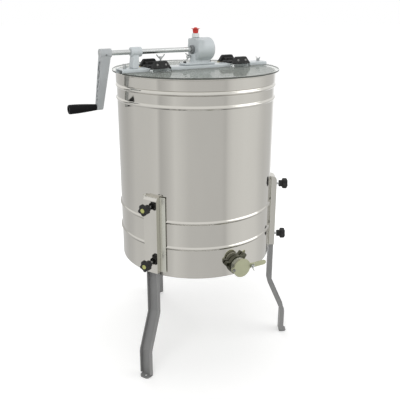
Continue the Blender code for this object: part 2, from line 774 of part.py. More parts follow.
def build_moving_leaf(name, x, lid_pivot):
    bottom = LID_TOP + SPACER_HEIGHT + FIT - HINGE_HEIGHT
    top = bottom + HINGE_BLOCK_HEIGHT
    inner = KNUCKLE_RADIUS + LEAF_GAP
    base = HINGE_BASE / 2
    flat = HINGE_PLATEAU / 2
    mesh = frustum(name, (-base, base, inner, HINGE_REACH),
                   (-flat, flat, inner, HINGE_REACH - HINGE_SLOPE), bottom, top)
    leaf = place(name, mesh, "black_plastic", (x, 0, 0), parent=lid_pivot)
    near = KNUCKLE_LENGTH / 2 + FIT
    far = near + KNUCKLE_ARM
    ring = arc(KNUCKLE_RADIUS, math.pi / 2, math.pi * 3 / 2, 6)
    arm = [*ring, (inner + LEAF_GAP, -KNUCKLE_RADIUS), (inner + LEAF_GAP, KNUCKLE_RADIUS)]
    for side in (-1, 1):
        helper = f"{name}_arm_{side}"
        low, high = sorted((side * near, side * far))
        fuse(leaf, place(helper, prism(helper, arm, low, high, "X"), at=(x, 0, 0),
                         parent=lid_pivot))
    bore = rod(name + "_bore", HINGE_PIN_RADIUS + FIT, -far - OVERRUN, far + OVERRUN, "X")
    cut(leaf, place(name + "_bore", bore, at=(x, 0, 0), parent=lid_pivot))


def build_fixed_leaf(name, x, seat):
    """Leaf on the beam with the middle knuckle and the pin moulded into it."""
    bottom = BEAM_TOP + FIT - HINGE_HEIGHT
    top = bottom + LEAF_PLATE
    inner = LEAF_INNER - HINGE_OFFSET
    outer = -(KNUCKLE_RADIUS + LEAF_GAP)
    base = HINGE_BASE / 2
    slope = HINGE_SLOPE / 2
    mesh = frustum(name, (-base, base, inner, outer),
                   (-base + slope, base - slope, inner + slope, outer), bottom, top)
    leaf = place(name, mesh, "black_plastic", (x, 0, 0), parent=seat)
    half = KNUCKLE_LENGTH / 2
    ring = arc(KNUCKLE_RADIUS, -math.pi / 2, math.pi / 2, 6)
    low = bottom + FIT
    knuckle = [*ring, (outer - LEAF_GAP, top - FIT), (outer - LEAF_GAP, low), (0, low)]
    fuse(leaf, place(name + "_knuckle", prism(name + "_knuckle", knuckle[1:], -half, half, "X"),
                     at=(x, 0, 0), parent=seat))
    end = half + FIT + KNUCKLE_ARM
    pin = rod(name + "_pin", HINGE_PIN_RADIUS, -end, end, "X")
    fuse(leaf, place(name + "_pin", pin, at=(x, 0, 0), parent=seat))


def build_lids():
    for side, direction, turn in (("back", 1, 0), ("front", -1, math.pi)):
        at = (0, direction * HINGE_OFFSET, HINGE_HEIGHT)
        swing = pivot(f"lid_{side}_axis", at, (0, 0, turn))
        seat = pivot(f"hinge_seat_{side}", at, (0, 0, turn))
        build_lid(f"lid_{side}", swing)
        for index, x in enumerate((-HINGE_SPREAD, HINGE_SPREAD)):
            build_moving_leaf(f"hinge_leaf_{side}_{index + 1}", x, swing)
            build_fixed_leaf(f"hinge_base_{side}_{index + 1}", x, seat)


# Crank shaft, bearing post, gearbox
def build_post():
    outer = -(DRUM_RADIUS - POST_INSET)
    post = place("bearing_post", frustum(
        "bearing_post",
        (outer, outer + POST_FOOT_DEPTH, -POST_FOOT_WIDTH / 2, POST_FOOT_WIDTH / 2),
        (outer, outer + POST_TOP_DEPTH, -POST_TOP_WIDTH / 2, POST_TOP_WIDTH / 2),
        BEAM_TOP + FIT, SHAFT_HEIGHT), "pale_grey")
    collar = rod("post_collar", COLLAR_RADIUS, outer - FIT, outer + COLLAR_LENGTH, "X",
                 ROUND_STEPS)
    fuse(post, place("post_collar", collar, at=(0, 0, SHAFT_HEIGHT)))
    bore = rod("cut_post_bore", SHAFT_RADIUS + FIT, outer - OVERRUN,
               outer + COLLAR_LENGTH + OVERRUN, "X", ROUND_STEPS)
    cut(post, place("cut_post_bore", bore, at=(0, 0, SHAFT_HEIGHT)))


def build_housing():
    """Barrel round the crown gear, squared at the front, on a tube and a foot."""
    wall_end = BOX_BACK - BOX_END
    barrel = [(0, -BOX_FRONT), (BOX_RADIUS, -BOX_FRONT), (BOX_RADIUS, BOX_BACK - BOX_DOME),
              (BOX_RADIUS - BOX_DOME / 3, BOX_BACK - BOX_DOME / 3),
              (BOX_RADIUS - BOX_DOME, BOX_BACK), (0, BOX_BACK)]
    box = place("gearbox_housing", turned("gearbox_housing", barrel, "X", BARREL_STEPS, closed=False),
                "pale_grey", (0, 0, SHAFT_HEIGHT))
    seat = BEAM_TOP + FIT
    square = block("box_square", (FIT - BOX_FRONT, -BOX_RADIUS + FIT, SHAFT_HEIGHT - BOX_SQUARE_RISE / 3),
                   (BOX_SQUARE_DEPTH - BOX_FRONT, BOX_RADIUS - FIT, SQUARE_TOP))
    base = block("box_base", (-BASE_FRONT, -BASE_WIDTH / 2, seat),
                 (BASE_BACK, BASE_WIDTH / 2, seat + BASE_PLATE))
    cheek = TUBE_RADIUS * SADDLE_SHARE
    saddle = block("box_saddle", (0, -cheek, seat + BASE_PLATE / 2),
                   (BOX_BACK - BOX_DOME, cheek, SHAFT_HEIGHT - BOX_RADIUS / 2))
    tube = rod("box_tube", TUBE_RADIUS, seat + BASE_PLATE / 2, TUBE_TOP, steps=ROUND_STEPS)
    fuse(box, place("box_square", square), place("box_saddle", saddle), place("box_tube", tube),
         place("box_base", base))
    room_radius = BOX_RADIUS - BOX_WALL
    bush = BUSH_SPIGOT_RADIUS + FIT
    shaft = SHAFT_RADIUS + FIT
    bore_end = BOX_BACK - BOX_END / 2
    front = BOX_FRONT_WALL - BOX_FRONT
    room = [(0, bore_end), (shaft, bore_end), (shaft, wall_end), (room_radius, wall_end),
            (room_radius, front), (bush, front), (bush, -BOX_FRONT - OVERRUN),
            (0, -BOX_FRONT - OVERRUN)]
    room = turned("cut_box_room", room, "X", ROUND_STEPS, closed=False)
    well_top = PINION_MIDDLE + PINION_FACE / 2 + WELL_HEADROOM
    well_floor = PINION_MIDDLE - PINION_FACE / 2 - WELL_DEPTH
    well = [(0, well_top), (TUBE_BORE, well_top), (TUBE_BORE, well_floor),
            (SPINDLE_RADIUS + FIT, well_floor),
            (SPINDLE_RADIUS + FIT, seat - OVERRUN), (0, seat - OVERRUN)]
    well = turned("cut_box_well", well, closed=False)
    neck = rod("cut_box_neck", NECK_SPIGOT_RADIUS + FIT, SHAFT_HEIGHT + BOX_RADIUS / 2,
               SHAFT_HEIGHT + BOX_RADIUS + OVERRUN, steps=ROUND_STEPS)
    screw = rod("cut_box_screw", STUD_RADIUS + RUN, -TUBE_RADIUS - OVERRUN,
                -TUBE_RADIUS + BOX_SCREW_DEPTH + RUN, "X")
    cut(box, place("cut_box_room", room, at=(0, 0, SHAFT_HEIGHT)), place("cut_box_well", well),
        place("cut_box_neck", neck),
        place("cut_box_screw", screw, at=(0, 0, BEAM_TOP + BOX_SCREW_HEIGHT)))
    for index, x in enumerate((BOX_BOLT_INSET - BASE_FRONT, BASE_BACK - BOX_BOLT_INSET)):
        name = f"cut_base_hole_{index}"
        hole = rod(name, BOX_BOLT_RADIUS + RUN, seat - OVERRUN, seat + BASE_PLATE + OVERRUN)
        cut(box, place(name, hole, at=(x, 0, 0)))
        head = seat + BASE_PLATE + FIT
        bolt = [(0, head + BOX_BOLT_HEAD), (BOX_BOLT_HEAD_RADIUS, head + BOX_BOLT_HEAD),
                (BOX_BOLT_HEAD_RADIUS, head), (BOX_BOLT_RADIUS, head),
                (BOX_BOLT_RADIUS, BEAM_TOP - BEAM_SHEET), (0, BEAM_TOP - BEAM_SHEET)]
        name = f"gearbox_bolt_{index + 1}"
        place(name, turned(name, bolt, steps=SMALL_STEPS, closed=False), "black_plastic", (x, 0, 0))


def build_box_fittings():
    inner = -BOX_FRONT + BUSH_SPIGOT
    bore = SHAFT_RADIUS + FIT
    bush = [(bore, inner), (BUSH_SPIGOT_RADIUS, inner), (BUSH_SPIGOT_RADIUS, -BOX_FRONT - FIT),
            (BUSH_RADIUS, -BOX_FRONT - FIT), (BUSH_RADIUS, -BOX_FRONT - BUSH_STANDOUT),
            (bore, -BOX_FRONT - BUSH_STANDOUT)]
    place("shaft_bush", turned("shaft_bush", bush, "X"), "dark_grey", (0, 0, SHAFT_HEIGHT))
    # The barrel's crown stands above the squared front, so the neck sits on the crown
    seat = max(SQUARE_TOP, SHAFT_HEIGHT + BOX_RADIUS) + FIT
    hole = PLUG_STEM_RADIUS + FIT
    neck_top = seat + NECK_HEIGHT
    neck = [(hole, neck_top), (NECK_RADIUS, neck_top), (NECK_RADIUS, seat),
            (NECK_SPIGOT_RADIUS, seat), (NECK_SPIGOT_RADIUS, seat - NECK_SPIGOT),
            (hole, seat - NECK_SPIGOT)]
    place("oil_neck", turned("oil_neck", neck), "white_plastic")
    low = neck_top + FIT
    top = low + PLUG_HEIGHT
    cap = top + PLUG_FLANGE
    dome = arc(PLUG_DOME, math.pi / 2, 0, 3)
    plug = [(PLUG_DOME_RADIUS * x / PLUG_DOME, cap + y) for x, y in dome[1:-1]]
    plug = [(0, cap + PLUG_DOME), *plug, (PLUG_DOME_RADIUS, cap), (PLUG_FLANGE_RADIUS, cap),
            (PLUG_FLANGE_RADIUS, top), (PLUG_TOP_RADIUS, top), (PLUG_LOW_RADIUS, low),
            (PLUG_STEM_RADIUS, low), (PLUG_STEM_RADIUS, low - PLUG_STEM), (0, low - PLUG_STEM)]
    lift = pivot("oil_plug_axis", (0, 0, low))
    plug = [(radius, height - low) for radius, height in plug]
    place("oil_plug", turned("oil_plug", plug, closed=False), "red_plastic", parent=lift)
    build_wings("gearbox_wing_screw", (-TUBE_RADIUS - BOX_SCREW_STEM, 0, BEAM_TOP + BOX_SCREW_HEIGHT),
                None, stem=BOX_SCREW_STEM + BOX_SCREW_DEPTH, turn=(0, -math.pi / 2, 0), spin=0)
    build_wings("beam_wing_screw", (-BEAM_SCREW_OFFSET, 0, BEAM_TOP + BEAM_SCREW_STEM), None,
                stem=BEAM_SCREW_STEM + BEAM_SCREW_DEPTH, spin=0)


def build_crown_gear(crank):
    """A face gear: its teeth stand on the side that looks at the pinion."""
    pitch = PINION_PITCH_RADIUS
    tip = pitch - TOOTH_OVERLAP
    root = pitch + TOOTH_ROOT
    inner, outer = MESH_RADIUS - TOOTH_REACH, MESH_RADIUS + TOOTH_REACH
    bore = SHAFT_RADIUS + FIT
    hub = root + GEAR_FACE_RELIEF
    back = root + GEAR_BLANK
    stations = []
    for tooth in range(GEAR_TEETH):
        middle = -math.pi / 2 + math.tau * (tooth + 0.5) / GEAR_TEETH
        for height, width in ((root, -TOOTH_ROOT_WIDTH), (tip, -TOOTH_TIP_WIDTH),
                              (tip, TOOTH_TIP_WIDTH), (root, TOOTH_ROOT_WIDTH)):
            stations.append((middle + width / 2 / MESH_RADIUS, height))
    corners = []
    for angle, height in stations:
        for radius, x in ((bore, back), (outer, back), (outer, height), (inner, height),
                          (inner, hub), (bore, hub)):
            corners.append((x, radius * math.cos(angle), radius * math.sin(angle)))
    faces = []
    for index in range(len(stations)):
        after = (index + 1) % len(stations)
        for corner in range(6):
            beside = (corner + 1) % 6
            faces.append([6 * index + corner, 6 * after + corner,
                          6 * after + beside, 6 * index + beside])
    place("crown_gear", make_mesh("crown_gear", corners, faces), "zinc_steel", parent=crank)


def arm_depth(height, root_x, tip_x):
    """The arm's side faces taper evenly from the hub to the tip."""
    return root_x + (tip_x - root_x) * -height / ARM_LENGTH


def build_arm(crank):
    hang = (math.radians(ARM_HANG_DEGREES), 0, 0)

    def outer(_, height):
        return arm_depth(height, ARM_OUTER_X, HUB_OUTER_X + ARM_TIP_SETBACK)

    def inner(_, height):
        return arm_depth(height, ARM_OUTER_X + ARM_ROOT_DEPTH,
                         HUB_OUTER_X + ARM_TIP_SETBACK + ARM_TIP_DEPTH)

    def floor(side, height):
        return inner(side, height) - ARM_FLOOR

    top = arc(ARM_ROOT_HALF, 0, math.pi, 6)
    low = arc(ARM_TIP_HALF, math.pi, math.tau, 6, (0, -ARM_LENGTH))
    arm = place("crank_arm", prism("crank_arm", top + low, outer, inner, "X"), "pale_grey",
                turn=hang, parent=crank)
    hub = rod("arm_hub", HUB_RADIUS, HUB_OUTER_X, HUB_OUTER_X + HUB_LENGTH, "X", ROUND_STEPS)
    bore = rod("cut_arm_bore", SHAFT_RADIUS + FIT, HUB_OUTER_X - OVERRUN,
               HUB_OUTER_X + HUB_LENGTH + OVERRUN, "X", ROUND_STEPS)
    fuse(arm, place("arm_hub", hub, turn=hang, parent=crank))
    first = -(HUB_RADIUS + ARM_RIM)
    last = -(ARM_LENGTH - ARM_TIP_HALF)
    step = (last - first) / (ARM_POCKETS + 1)
    pockets = []
    for index in range(ARM_POCKETS):
        side = 1 if index % 2 else -1
        peak = first + step * (index + 1)
        half = ARM_ROOT_HALF + (ARM_TIP_HALF - ARM_ROOT_HALF) * peak / -ARM_LENGTH - ARM_RIM
        corners = [(side * half, peak - step), (side * half, peak + step), (-side * half, peak)]
        centre = (sum(c[0] for c in corners) / 3, sum(c[1] for c in corners) / 3)
        shrunk = [(centre[0] + (y - centre[0]) * ARM_POCKET_SHARE,
                   centre[1] + (z - centre[1]) * ARM_POCKET_SHARE) for y, z in corners]
        pockets.append(prism(f"pocket_{index}", shrunk, HUB_OUTER_X - OVERRUN, floor, "X"))
    cut(arm, place("cut_arm_bore", bore, turn=hang, parent=crank),
        place("cut_arm_pockets", several("cut_arm_pockets", pockets), turn=hang, parent=crank))
    grip_hole = rod("cut_arm_grip_hole", GRIP_BOLT_RADIUS + FIT, HUB_OUTER_X - OVERRUN,
                    HUB_OUTER_X + HUB_LENGTH + OVERRUN, "X")
    screw_hole = rod("cut_set_screw_hole", SET_SCREW_RADIUS + FIT, -HUB_RADIUS - OVERRUN, 0, "Y")
    middle = HUB_OUTER_X + HUB_LENGTH / 2
    spin = (0, math.pi / SMALL_STEPS, 0)
    grip_frame = pivot("arm_frame", turn=hang, parent=crank)
    cut(arm, place("cut_arm_grip_hole", grip_hole, at=(0, 0, -ARM_LENGTH), parent=grip_frame),
        place("cut_set_screw_hole", screw_hole, at=(middle, 0, 0), turn=spin, parent=grip_frame))
    screw = rod("crank_set_screw", SET_SCREW_RADIUS, -HUB_RADIUS, -(SHAFT_RADIUS + 2 * FIT), "Y")
    place("crank_set_screw", screw, "zinc_steel", (middle, 0, 0), spin, grip_frame)
    build_grip(grip_frame)


def build_grip(arm_frame):
    face = HUB_OUTER_X + ARM_TIP_SETBACK - FIT
    end = face - GRIP_LENGTH
    seat = end + GRIP_BOLT_RECESS + GRIP_BOLT_HEAD
    bore = GRIP_BOLT_RADIUS + FIT
    rise = GRIP_TIP_RADIUS - GRIP_ROOT_RADIUS
    outline = [(bore, face), (GRIP_ROOT_RADIUS, face)]
    for step in range(1, 5):
        share = step / 5
        outline.append((GRIP_ROOT_RADIUS + rise * math.sin(share * math.pi / 2),
                        face - (GRIP_LENGTH - GRIP_TIP_ROUND) * share))
    outline += [(GRIP_TIP_RADIUS, end + GRIP_TIP_ROUND), (GRIP_TIP_RADIUS - GRIP_TIP_ROUND / 3, end),
                (GRIP_BOLT_HEAD_RADIUS + FIT, end), (GRIP_BOLT_HEAD_RADIUS + FIT, seat), (bore, seat)]
    axis = pivot("grip_axis", (0, 0, -ARM_LENGTH), parent=arm_frame)
    place("grip", turned("grip", outline, "X", ROUND_STEPS), "black_plastic", parent=axis)
    inside = HUB_OUTER_X + ARM_TIP_SETBACK + ARM_TIP_DEPTH
    head = seat - FIT
    bolt = [(0, inside), (GRIP_BOLT_RADIUS, inside), (GRIP_BOLT_RADIUS, head),
            (GRIP_BOLT_HEAD_RADIUS, head), (GRIP_BOLT_HEAD_RADIUS, head - GRIP_BOLT_HEAD),
            (0, head - GRIP_BOLT_HEAD)]
    place("grip_bolt", turned("grip_bolt", bolt, "X", SMALL_STEPS, closed=False), "zinc_steel",
          (0, 0, -ARM_LENGTH), parent=arm_frame)


def build_crank():
    crank = pivot("crank_axis", (0, 0, SHAFT_HEIGHT))
    shaft = rod("crank_shaft", SHAFT_RADIUS, HUB_OUTER_X, BOX_BACK - BOX_END / 2 - FIT, "X", ROUND_STEPS)
    place("crank_shaft", shaft, "satin_steel", parent=crank)
    build_crown_gear(crank)
    build_arm(crank)


# Leg holders, legs and star knobs, drawn with the outward direction along +X
def build_holder(name, station):
    half = HOLDER_FACE / 2
    seat = DRUM_RADIUS + FIT
    face = HOLDER_FACE_RADIUS
    middle_skin = chord(seat + HOLDER_SHEET / 2, half)
    rounding = arc(HOLDER_ROUND, 0, math.pi / 2, 4, (face - HOLDER_ROUND, HOLDER_TOP - HOLDER_ROUND))
    side = [(middle_skin, HOLDER_FOOT), (face, HOLDER_FOOT), *rounding, (middle_skin, HOLDER_TOP)]
    holder = place(name, prism(name, side, -half, half, "Y"), "mirror_steel", parent=station)
    reach = math.asin((half + HOLDER_FLANGE) / seat)
    skin = arc(seat, -reach, reach, 10) + arc(seat + HOLDER_SHEET, reach, -reach, 10)
    flange = prism(name + "_flange", skin, HOLDER_FOOT + FIT, HOLDER_TOP - FLANGE_MARGIN)
    fuse(holder, place(name + "_flange", flange, parent=station))
    inner_round = HOLDER_ROUND - HOLDER_SHEET
    roof = HOLDER_TOP - HOLDER_SHEET
    wall = face - HOLDER_SHEET
    rounding = arc(inner_round, 0, math.pi / 2, 4, (wall - inner_round, roof - inner_round))
    hollow = [(DRUM_INNER, HOLDER_FOOT - OVERRUN), (wall, HOLDER_FOOT - OVERRUN), *rounding,
              (DRUM_INNER, roof)]
    gap = half - HOLDER_SHEET
    room = prism(name + "_room", hollow, -gap, gap, "Y")
    cut(holder, place(name + "_room", room, parent=station))
    wall_cut = rod(name + "_wall", seat, HOLDER_TOP - FLANGE_MARGIN + FIT, HOLDER_TOP + OVERRUN,
                   steps=DRUM_SEGMENTS)
    cut(holder, place(name + "_wall", wall_cut))
    for index, height in enumerate((LOWER_BEAD_HEIGHT, LOWER_BEAD_HEIGHT + LOWER_BEAD_PITCH)):
        bead = DRUM_RADIUS + BEAD_RISE + FIT
        notch = BEAD_HALF + FIT
        ring = [(bead, height + notch), (bead, height - notch),
                (DRUM_INNER, height - notch), (DRUM_INNER, height + notch)]
        helper = f"{name}_bead_{index}"
        cut(holder, place(helper, turned(helper, ring, steps=DRUM_SEGMENTS)))
    for index, height in enumerate((KNOB_HEIGHT_LOW, KNOB_HEIGHT_LOW + KNOB_PITCH)):
        helper = f"{name}_hole_{index}"
        hole = rod(helper, KNOB_STUD_RADIUS + RUN, wall - OVERRUN, face + OVERRUN, "X")
        cut(holder, place(helper, hole, at=(0, 0, height), parent=station))


def leg_path():
    """Places of the web's back along the leg, as (radius, height), bends rounded."""
    top = LEG_TOP
    upper, lower = LEG_BACK_RADIUS, LEG_BACK_RADIUS + LEG_SPREAD
    low = -GROUND_DROP + FOOT_PLATE / 2
    corners = [Vector((upper, top)), Vector((upper, -BEND_START)), Vector((lower, -BEND_END)),
               Vector((lower, low))]
    path = [corners[0]]
    for before, corner, after in zip(corners, corners[1:], corners[2:]):
        back = (before - corner).normalized()
        ahead = (after - corner).normalized()
        half = back.angle(ahead) / 2
        tangent = BEND_RADIUS / math.tan(half)
        centre = corner + (back + ahead).normalized() * (BEND_RADIUS / math.sin(half))
        start = corner + back * tangent - centre
        sweep = (corner + ahead * tangent - centre).angle_signed(start)
        for step in range(BEND_STEPS + 1):
            path.append(centre + turn_by(start, sweep * step / BEND_STEPS))
    path.append(corners[-1])
    return path


def turn_by(vector, angle):
    """A 2-D vector turned anticlockwise."""
    cosine, sine = math.cos(angle), math.sin(angle)
    return Vector((vector.x * cosine - vector.y * sine, vector.x * sine + vector.y * cosine))


def build_leg(name, station):
    half = LEG_WIDTH / 2
    inner = half - LEG_SHEET
    section = [(-half, 0), (half, 0), (half, LEG_DEPTH), (inner, LEG_DEPTH),
               (inner, LEG_SHEET), (-inner, LEG_SHEET), (-inner, LEG_DEPTH), (-half, LEG_DEPTH)]
    path = leg_path()
    corners = []
    for index, place_now in enumerate(path):
        before = path[max(index - 1, 0)]
        after = path[min(index + 1, len(path) - 1)]
        into = (place_now - before).normalized() if index else (after - place_now).normalized()
        out = (after - place_now).normalized() if index < len(path) - 1 else into
        across = (into + out).normalized()
        outward = Vector((-across.y, across.x)) / across.dot(into)
        for side, depth in section:
            spot = place_now + outward * depth
            corners.append((spot.x - LEG_BACK_RADIUS, side, spot.y))
    count = len(section)
    faces = [list(range(count)), list(range(len(corners) - count, len(corners)))]
    for ring in range(len(path) - 1):
        for index in range(count):
            beside = (index + 1) % count
            faces.append([count * ring + index, count * ring + beside,
                          count * (ring + 1) + beside, count * (ring + 1) + index])
    at = (LEG_BACK_RADIUS, 0, 0)
    leg = place(name, make_mesh(name, corners, faces), "leg_grey", at, parent=station)
    plate_top = FOOT_PLATE - GROUND_DROP
    toe = LEG_SPREAD + FOOT_REACH
    wide = FOOT_WIDTH / 2
    corner = FOOT_PLATE * 2
    plate = [(LEG_SPREAD + FIT, -wide), (toe - corner, -wide), (toe, corner - wide),
             (toe, wide - corner), (toe - corner, wide), (LEG_SPREAD + FIT, wide)]
    fuse(leg, place(name + "_foot", prism(name + "_foot", plate, -GROUND_DROP, plate_top),
                    at=at, parent=station))
    web = LEG_SPREAD + LEG_SHEET + FIT
    lip = LEG_SPREAD + LEG_DEPTH + OVERRUN
    wedge = [(web, plate_top + FIT), (lip, plate_top + FIT), (lip, plate_top + LIP_CUT)]
    # The lips slope down at the top to clear the holder's rounded corner
    reach = LEG_DEPTH + OVERRUN
    drop = HOLDER_ROUND * (reach - LEG_SHEET) / (LEG_DEPTH - LEG_SHEET)
    ledge = LEG_SHEET + FIT
    crest = [(ledge, LEG_TOP - FIT), (reach, LEG_TOP - FIT - drop), (reach, LEG_TOP + OVERRUN),
             (ledge, LEG_TOP + OVERRUN)]
    hole = rod(name + "_foot_hole", FOOT_HOLE_RADIUS, -GROUND_DROP - OVERRUN, plate_top + OVERRUN)
    cut(leg, place(name + "_lip_cut", prism(name + "_lip_cut", wedge, -LEG_WIDTH, LEG_WIDTH, "Y"),
                   at=at, parent=station),
        place(name + "_crest_cut", prism(name + "_crest_cut", crest, -LEG_WIDTH, LEG_WIDTH, "Y"),
              at=at, parent=station),
        place(name + "_foot_hole", hole, at=(LEG_BACK_RADIUS + LEG_SPREAD + FOOT_HOLE_REACH, 0, 0),
              parent=station))


def knob_mesh():
    """Stud, hub and lobed head, lofted along +X from the holder's face at 0."""
    start = -(HOLDER_SHEET + LEG_DEPTH + FIT - LEG_SHEET - FIT)
    hub = KNOB_STANDOFF
    head = hub + KNOB_HUB
    end = head + KNOB_HEAD
    mean = KNOB_HEAD_RADIUS
    edge = mean * KNOB_EDGE_SHARE
    rings = [(start, KNOB_STUD_RADIUS, 0), (hub, KNOB_STUD_RADIUS, 0), (hub, KNOB_HUB_RADIUS, 0),
             (head, KNOB_HUB_RADIUS, 0), (head, edge, KNOB_LOBE), (head + KNOB_CHAMFER, mean, KNOB_LOBE),
             (end - KNOB_CHAMFER, mean, KNOB_LOBE), (end, edge, KNOB_LOBE)]
    steps = KNOB_LOBES * POINTS_PER_LOBE
    corners = []
    for x, radius, lobe in rings:
        for step in range(steps):
            angle = math.tau * step / steps
            reach = radius + lobe * math.cos(KNOB_LOBES * angle)
            corners.append((x, reach * math.cos(angle), reach * math.sin(angle)))
    faces = [list(range(steps)), list(range(len(corners) - steps, len(corners)))]
    for ring in range(len(rings) - 1):
        for step in range(steps):
            after = (step + 1) % steps
            faces.append([steps * ring + step, steps * ring + after,
                          steps * (ring + 1) + after, steps * (ring + 1) + step])
    return make_mesh("star_knob", corners, faces)


def build_stations():
    knob = knob_mesh()
    for name, degrees in STATIONS:
        station = pivot(f"station_{name}", turn=(0, 0, math.radians(degrees)))
        build_holder(f"leg_holder_{name}", station)
        build_leg(f"leg_{name}", station)
        for level, height in (("low", KNOB_HEIGHT_LOW), ("high", KNOB_HEIGHT_LOW + KNOB_PITCH)):
            place(f"star_knob_{name}_{level}", knob, "black_plastic",
                  (HOLDER_FACE_RADIUS, 0, height), parent=station)


# Honey gate, drawn with the outward direction along +X and world +X along +Y
def ear_outline(low_reach, high_reach, radius):
    """A disc with a round-ended bar across it, as one outline."""
    half = GATE_EAR_HALF
    meet = math.asin(half / radius)
    right = arc(half, -math.pi / 2, math.pi / 2, 6, (high_reach - half, 0))
    left = arc(half, math.pi / 2, math.pi * 3 / 2, 6, (half - low_reach, 0))
    upper = arc(radius, meet, math.pi - meet, 12)
    lower = arc(radius, math.pi + meet, math.tau - meet, 12)
    return [*right, *upper, *left, *lower]


def build_gate():
    station = pivot("gate_station", (0, 0, GATE_HEIGHT), (0, 0, -math.pi / 2))
    inner = DRUM_INNER - GATE_INSIDE
    back = GATE_SEAT - GATE_FACE
    tube = [(GATE_BORE_RADIUS, inner), (GATE_TUBE_RADIUS, inner)]
    first = DRUM_RADIUS + 2 * FIT + NUT_LENGTH + GATE_RING_PITCH / 2
    for ring in range(GATE_RINGS):
        x = first + ring * GATE_RING_PITCH
        crest = GATE_TUBE_RADIUS + GATE_RING_RISE
        tube += [(GATE_TUBE_RADIUS, x - GATE_RING_PITCH / 4), (crest, x), (crest, x + GATE_RING_PITCH / 4),
                 (GATE_TUBE_RADIUS, x + GATE_RING_PITCH / 2)]
    tube += [(GATE_TUBE_RADIUS, GATE_SEAT - FIT), (GATE_BORE_RADIUS, GATE_SEAT - FIT)]
    body = place("gate_body", turned("gate_body", tube, "X", ROUND_STEPS), "satin_steel", parent=station)
    face = ear_outline(GATE_PIVOT + GATE_EAR_HALF, GATE_CLAMP + GATE_EAR_HALF, GATE_FACE_RADIUS)
    plate = prism("gate_face", face, back, GATE_SEAT, "X")
    bore = rod("cut_gate_bore", GATE_BORE_RADIUS, inner - OVERRUN, GATE_SEAT + OVERRUN, "X", ROUND_STEPS)
    pin_hole = rod("cut_gate_pin", GATE_PIN_RADIUS + FIT, back - OVERRUN, GATE_SEAT + OVERRUN, "X")
    stud_hole = rod("cut_gate_stud", STUD_RADIUS + FIT, back - OVERRUN, GATE_SEAT + OVERRUN, "X")
    fuse(body, place("gate_face", plate, parent=station))
    cut(body, place("cut_gate_bore", bore, parent=station),
        place("cut_gate_pin", pin_hole, at=(0, -GATE_PIVOT, 0), parent=station),
        place("cut_gate_stud", stud_hole, at=(0, GATE_CLAMP, 0), parent=station))
    build_gate_nut(station)
    build_flap(station, back)


def build_gate_nut(station):
    outline = []
    pitch = math.tau / NUT_LUGS
    spread = NUT_LUG_HALF / NUT_RADIUS
    for step in range(NUT_LUGS):
        middle = math.radians(NUT_TURN_DEGREES) + pitch * step
        outline += arc(NUT_RADIUS, middle + spread - pitch, middle - spread, NUT_ARC_STEPS)
        outline += arc(NUT_RADIUS + NUT_LUG, middle - spread / 2, middle + spread / 2, 1)
    start = DRUM_RADIUS + 2 * FIT
    nut = place("gate_nut", prism("gate_nut", outline, start, start + NUT_LENGTH, "X"),
                "black_plastic", parent=station)
    bore = rod("cut_nut_bore", GATE_TUBE_RADIUS + FIT, start - OVERRUN, start + NUT_LENGTH + OVERRUN,
               "X", ROUND_STEPS)
    cut(nut, place("cut_nut_bore", bore, parent=station))


def build_flap(station, back):
    front = GATE_SEAT + FIT
    swing = pivot("gate_flap_axis", (front, -GATE_PIVOT, 0), parent=station)
    outline = ear_outline(GATE_PIVOT + GATE_EAR_HALF, FLAP_TIP, FLAP_RADIUS)
    outline = [(y + GATE_PIVOT, z) for y, z in outline]
    flap = place("gate_flap", prism("gate_flap", outline, 0, FLAP_SHEET, "X"), "satin_steel",
                 parent=swing)
    pin = rod("cut_flap_pin", GATE_PIN_RADIUS + FIT, -OVERRUN, FLAP_SHEET + OVERRUN, "X")
    slot = STUD_RADIUS + 2 * RUN
    clamp = GATE_PIVOT + GATE_CLAMP
    notch = [*arc(slot, 0, math.pi, 6, (clamp, 0)), (clamp - slot, -GATE_EAR_HALF - OVERRUN),
             (clamp + slot, -GATE_EAR_HALF - OVERRUN)]
    cut(flap, place("cut_flap_pin", pin, parent=swing),
        place("cut_flap_notch", prism("cut_flap_notch", notch, -OVERRUN, FLAP_SHEET + OVERRUN, "X"),
              parent=swing))
    outside = front + FLAP_SHEET + FIT
    pivot_screw = [(0, outside + GATE_PIN_HEAD), (GATE_PIN_HEAD_RADIUS, outside + GATE_PIN_HEAD),
                   (GATE_PIN_HEAD_RADIUS, outside), (GATE_PIN_RADIUS, outside),
                   (GATE_PIN_RADIUS, back - GATE_PIN_TAIL), (0, back - GATE_PIN_TAIL)]
    place("gate_pivot_screw", turned("gate_pivot_screw", pivot_screw, "X", SMALL_STEPS, closed=False),
          "zinc_steel", (0, -GATE_PIVOT, 0), parent=station)
    head = back - FIT
    end = outside + WING_HUB_HEIGHT + STUD_STANDOUT
    stud = [(0, end), (STUD_RADIUS, end), (STUD_RADIUS, head), (CLAMP_HEAD_RADIUS, head),
            (CLAMP_HEAD_RADIUS, head - CLAMP_HEAD), (0, head - CLAMP_HEAD)]
    place("gate_clamp_stud", turned("gate_clamp_stud", stud, "X", SMALL_STEPS, closed=False),
          "zinc_steel", (0, GATE_CLAMP, 0), parent=station)
    build_wings("gate_wing_nut", (outside, GATE_CLAMP, 0), station, turn=(0, math.pi / 2, 0),
                bore=STUD_RADIUS + RUN, spin=0)


def build_extractor():
    clear_scene()
    build_drum()
    build_floor()
    build_bearing()
    build_basket()
    build_beam()
    build_brackets()
    build_lids()
    build_post()
    build_housing()
    build_box_fittings()
    build_crank()
    build_stations()
    build_gate()


build_extractor()
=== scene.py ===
"""Finished looks of a hand cranked honey extractor, built round its CAD frame.

Metres, +Z up, in the frame of the CAD model.  The origin lies on the drum's axis
at the drum's lower edge, the crank stands at -X and the honey gate at -Y.
"""

import math

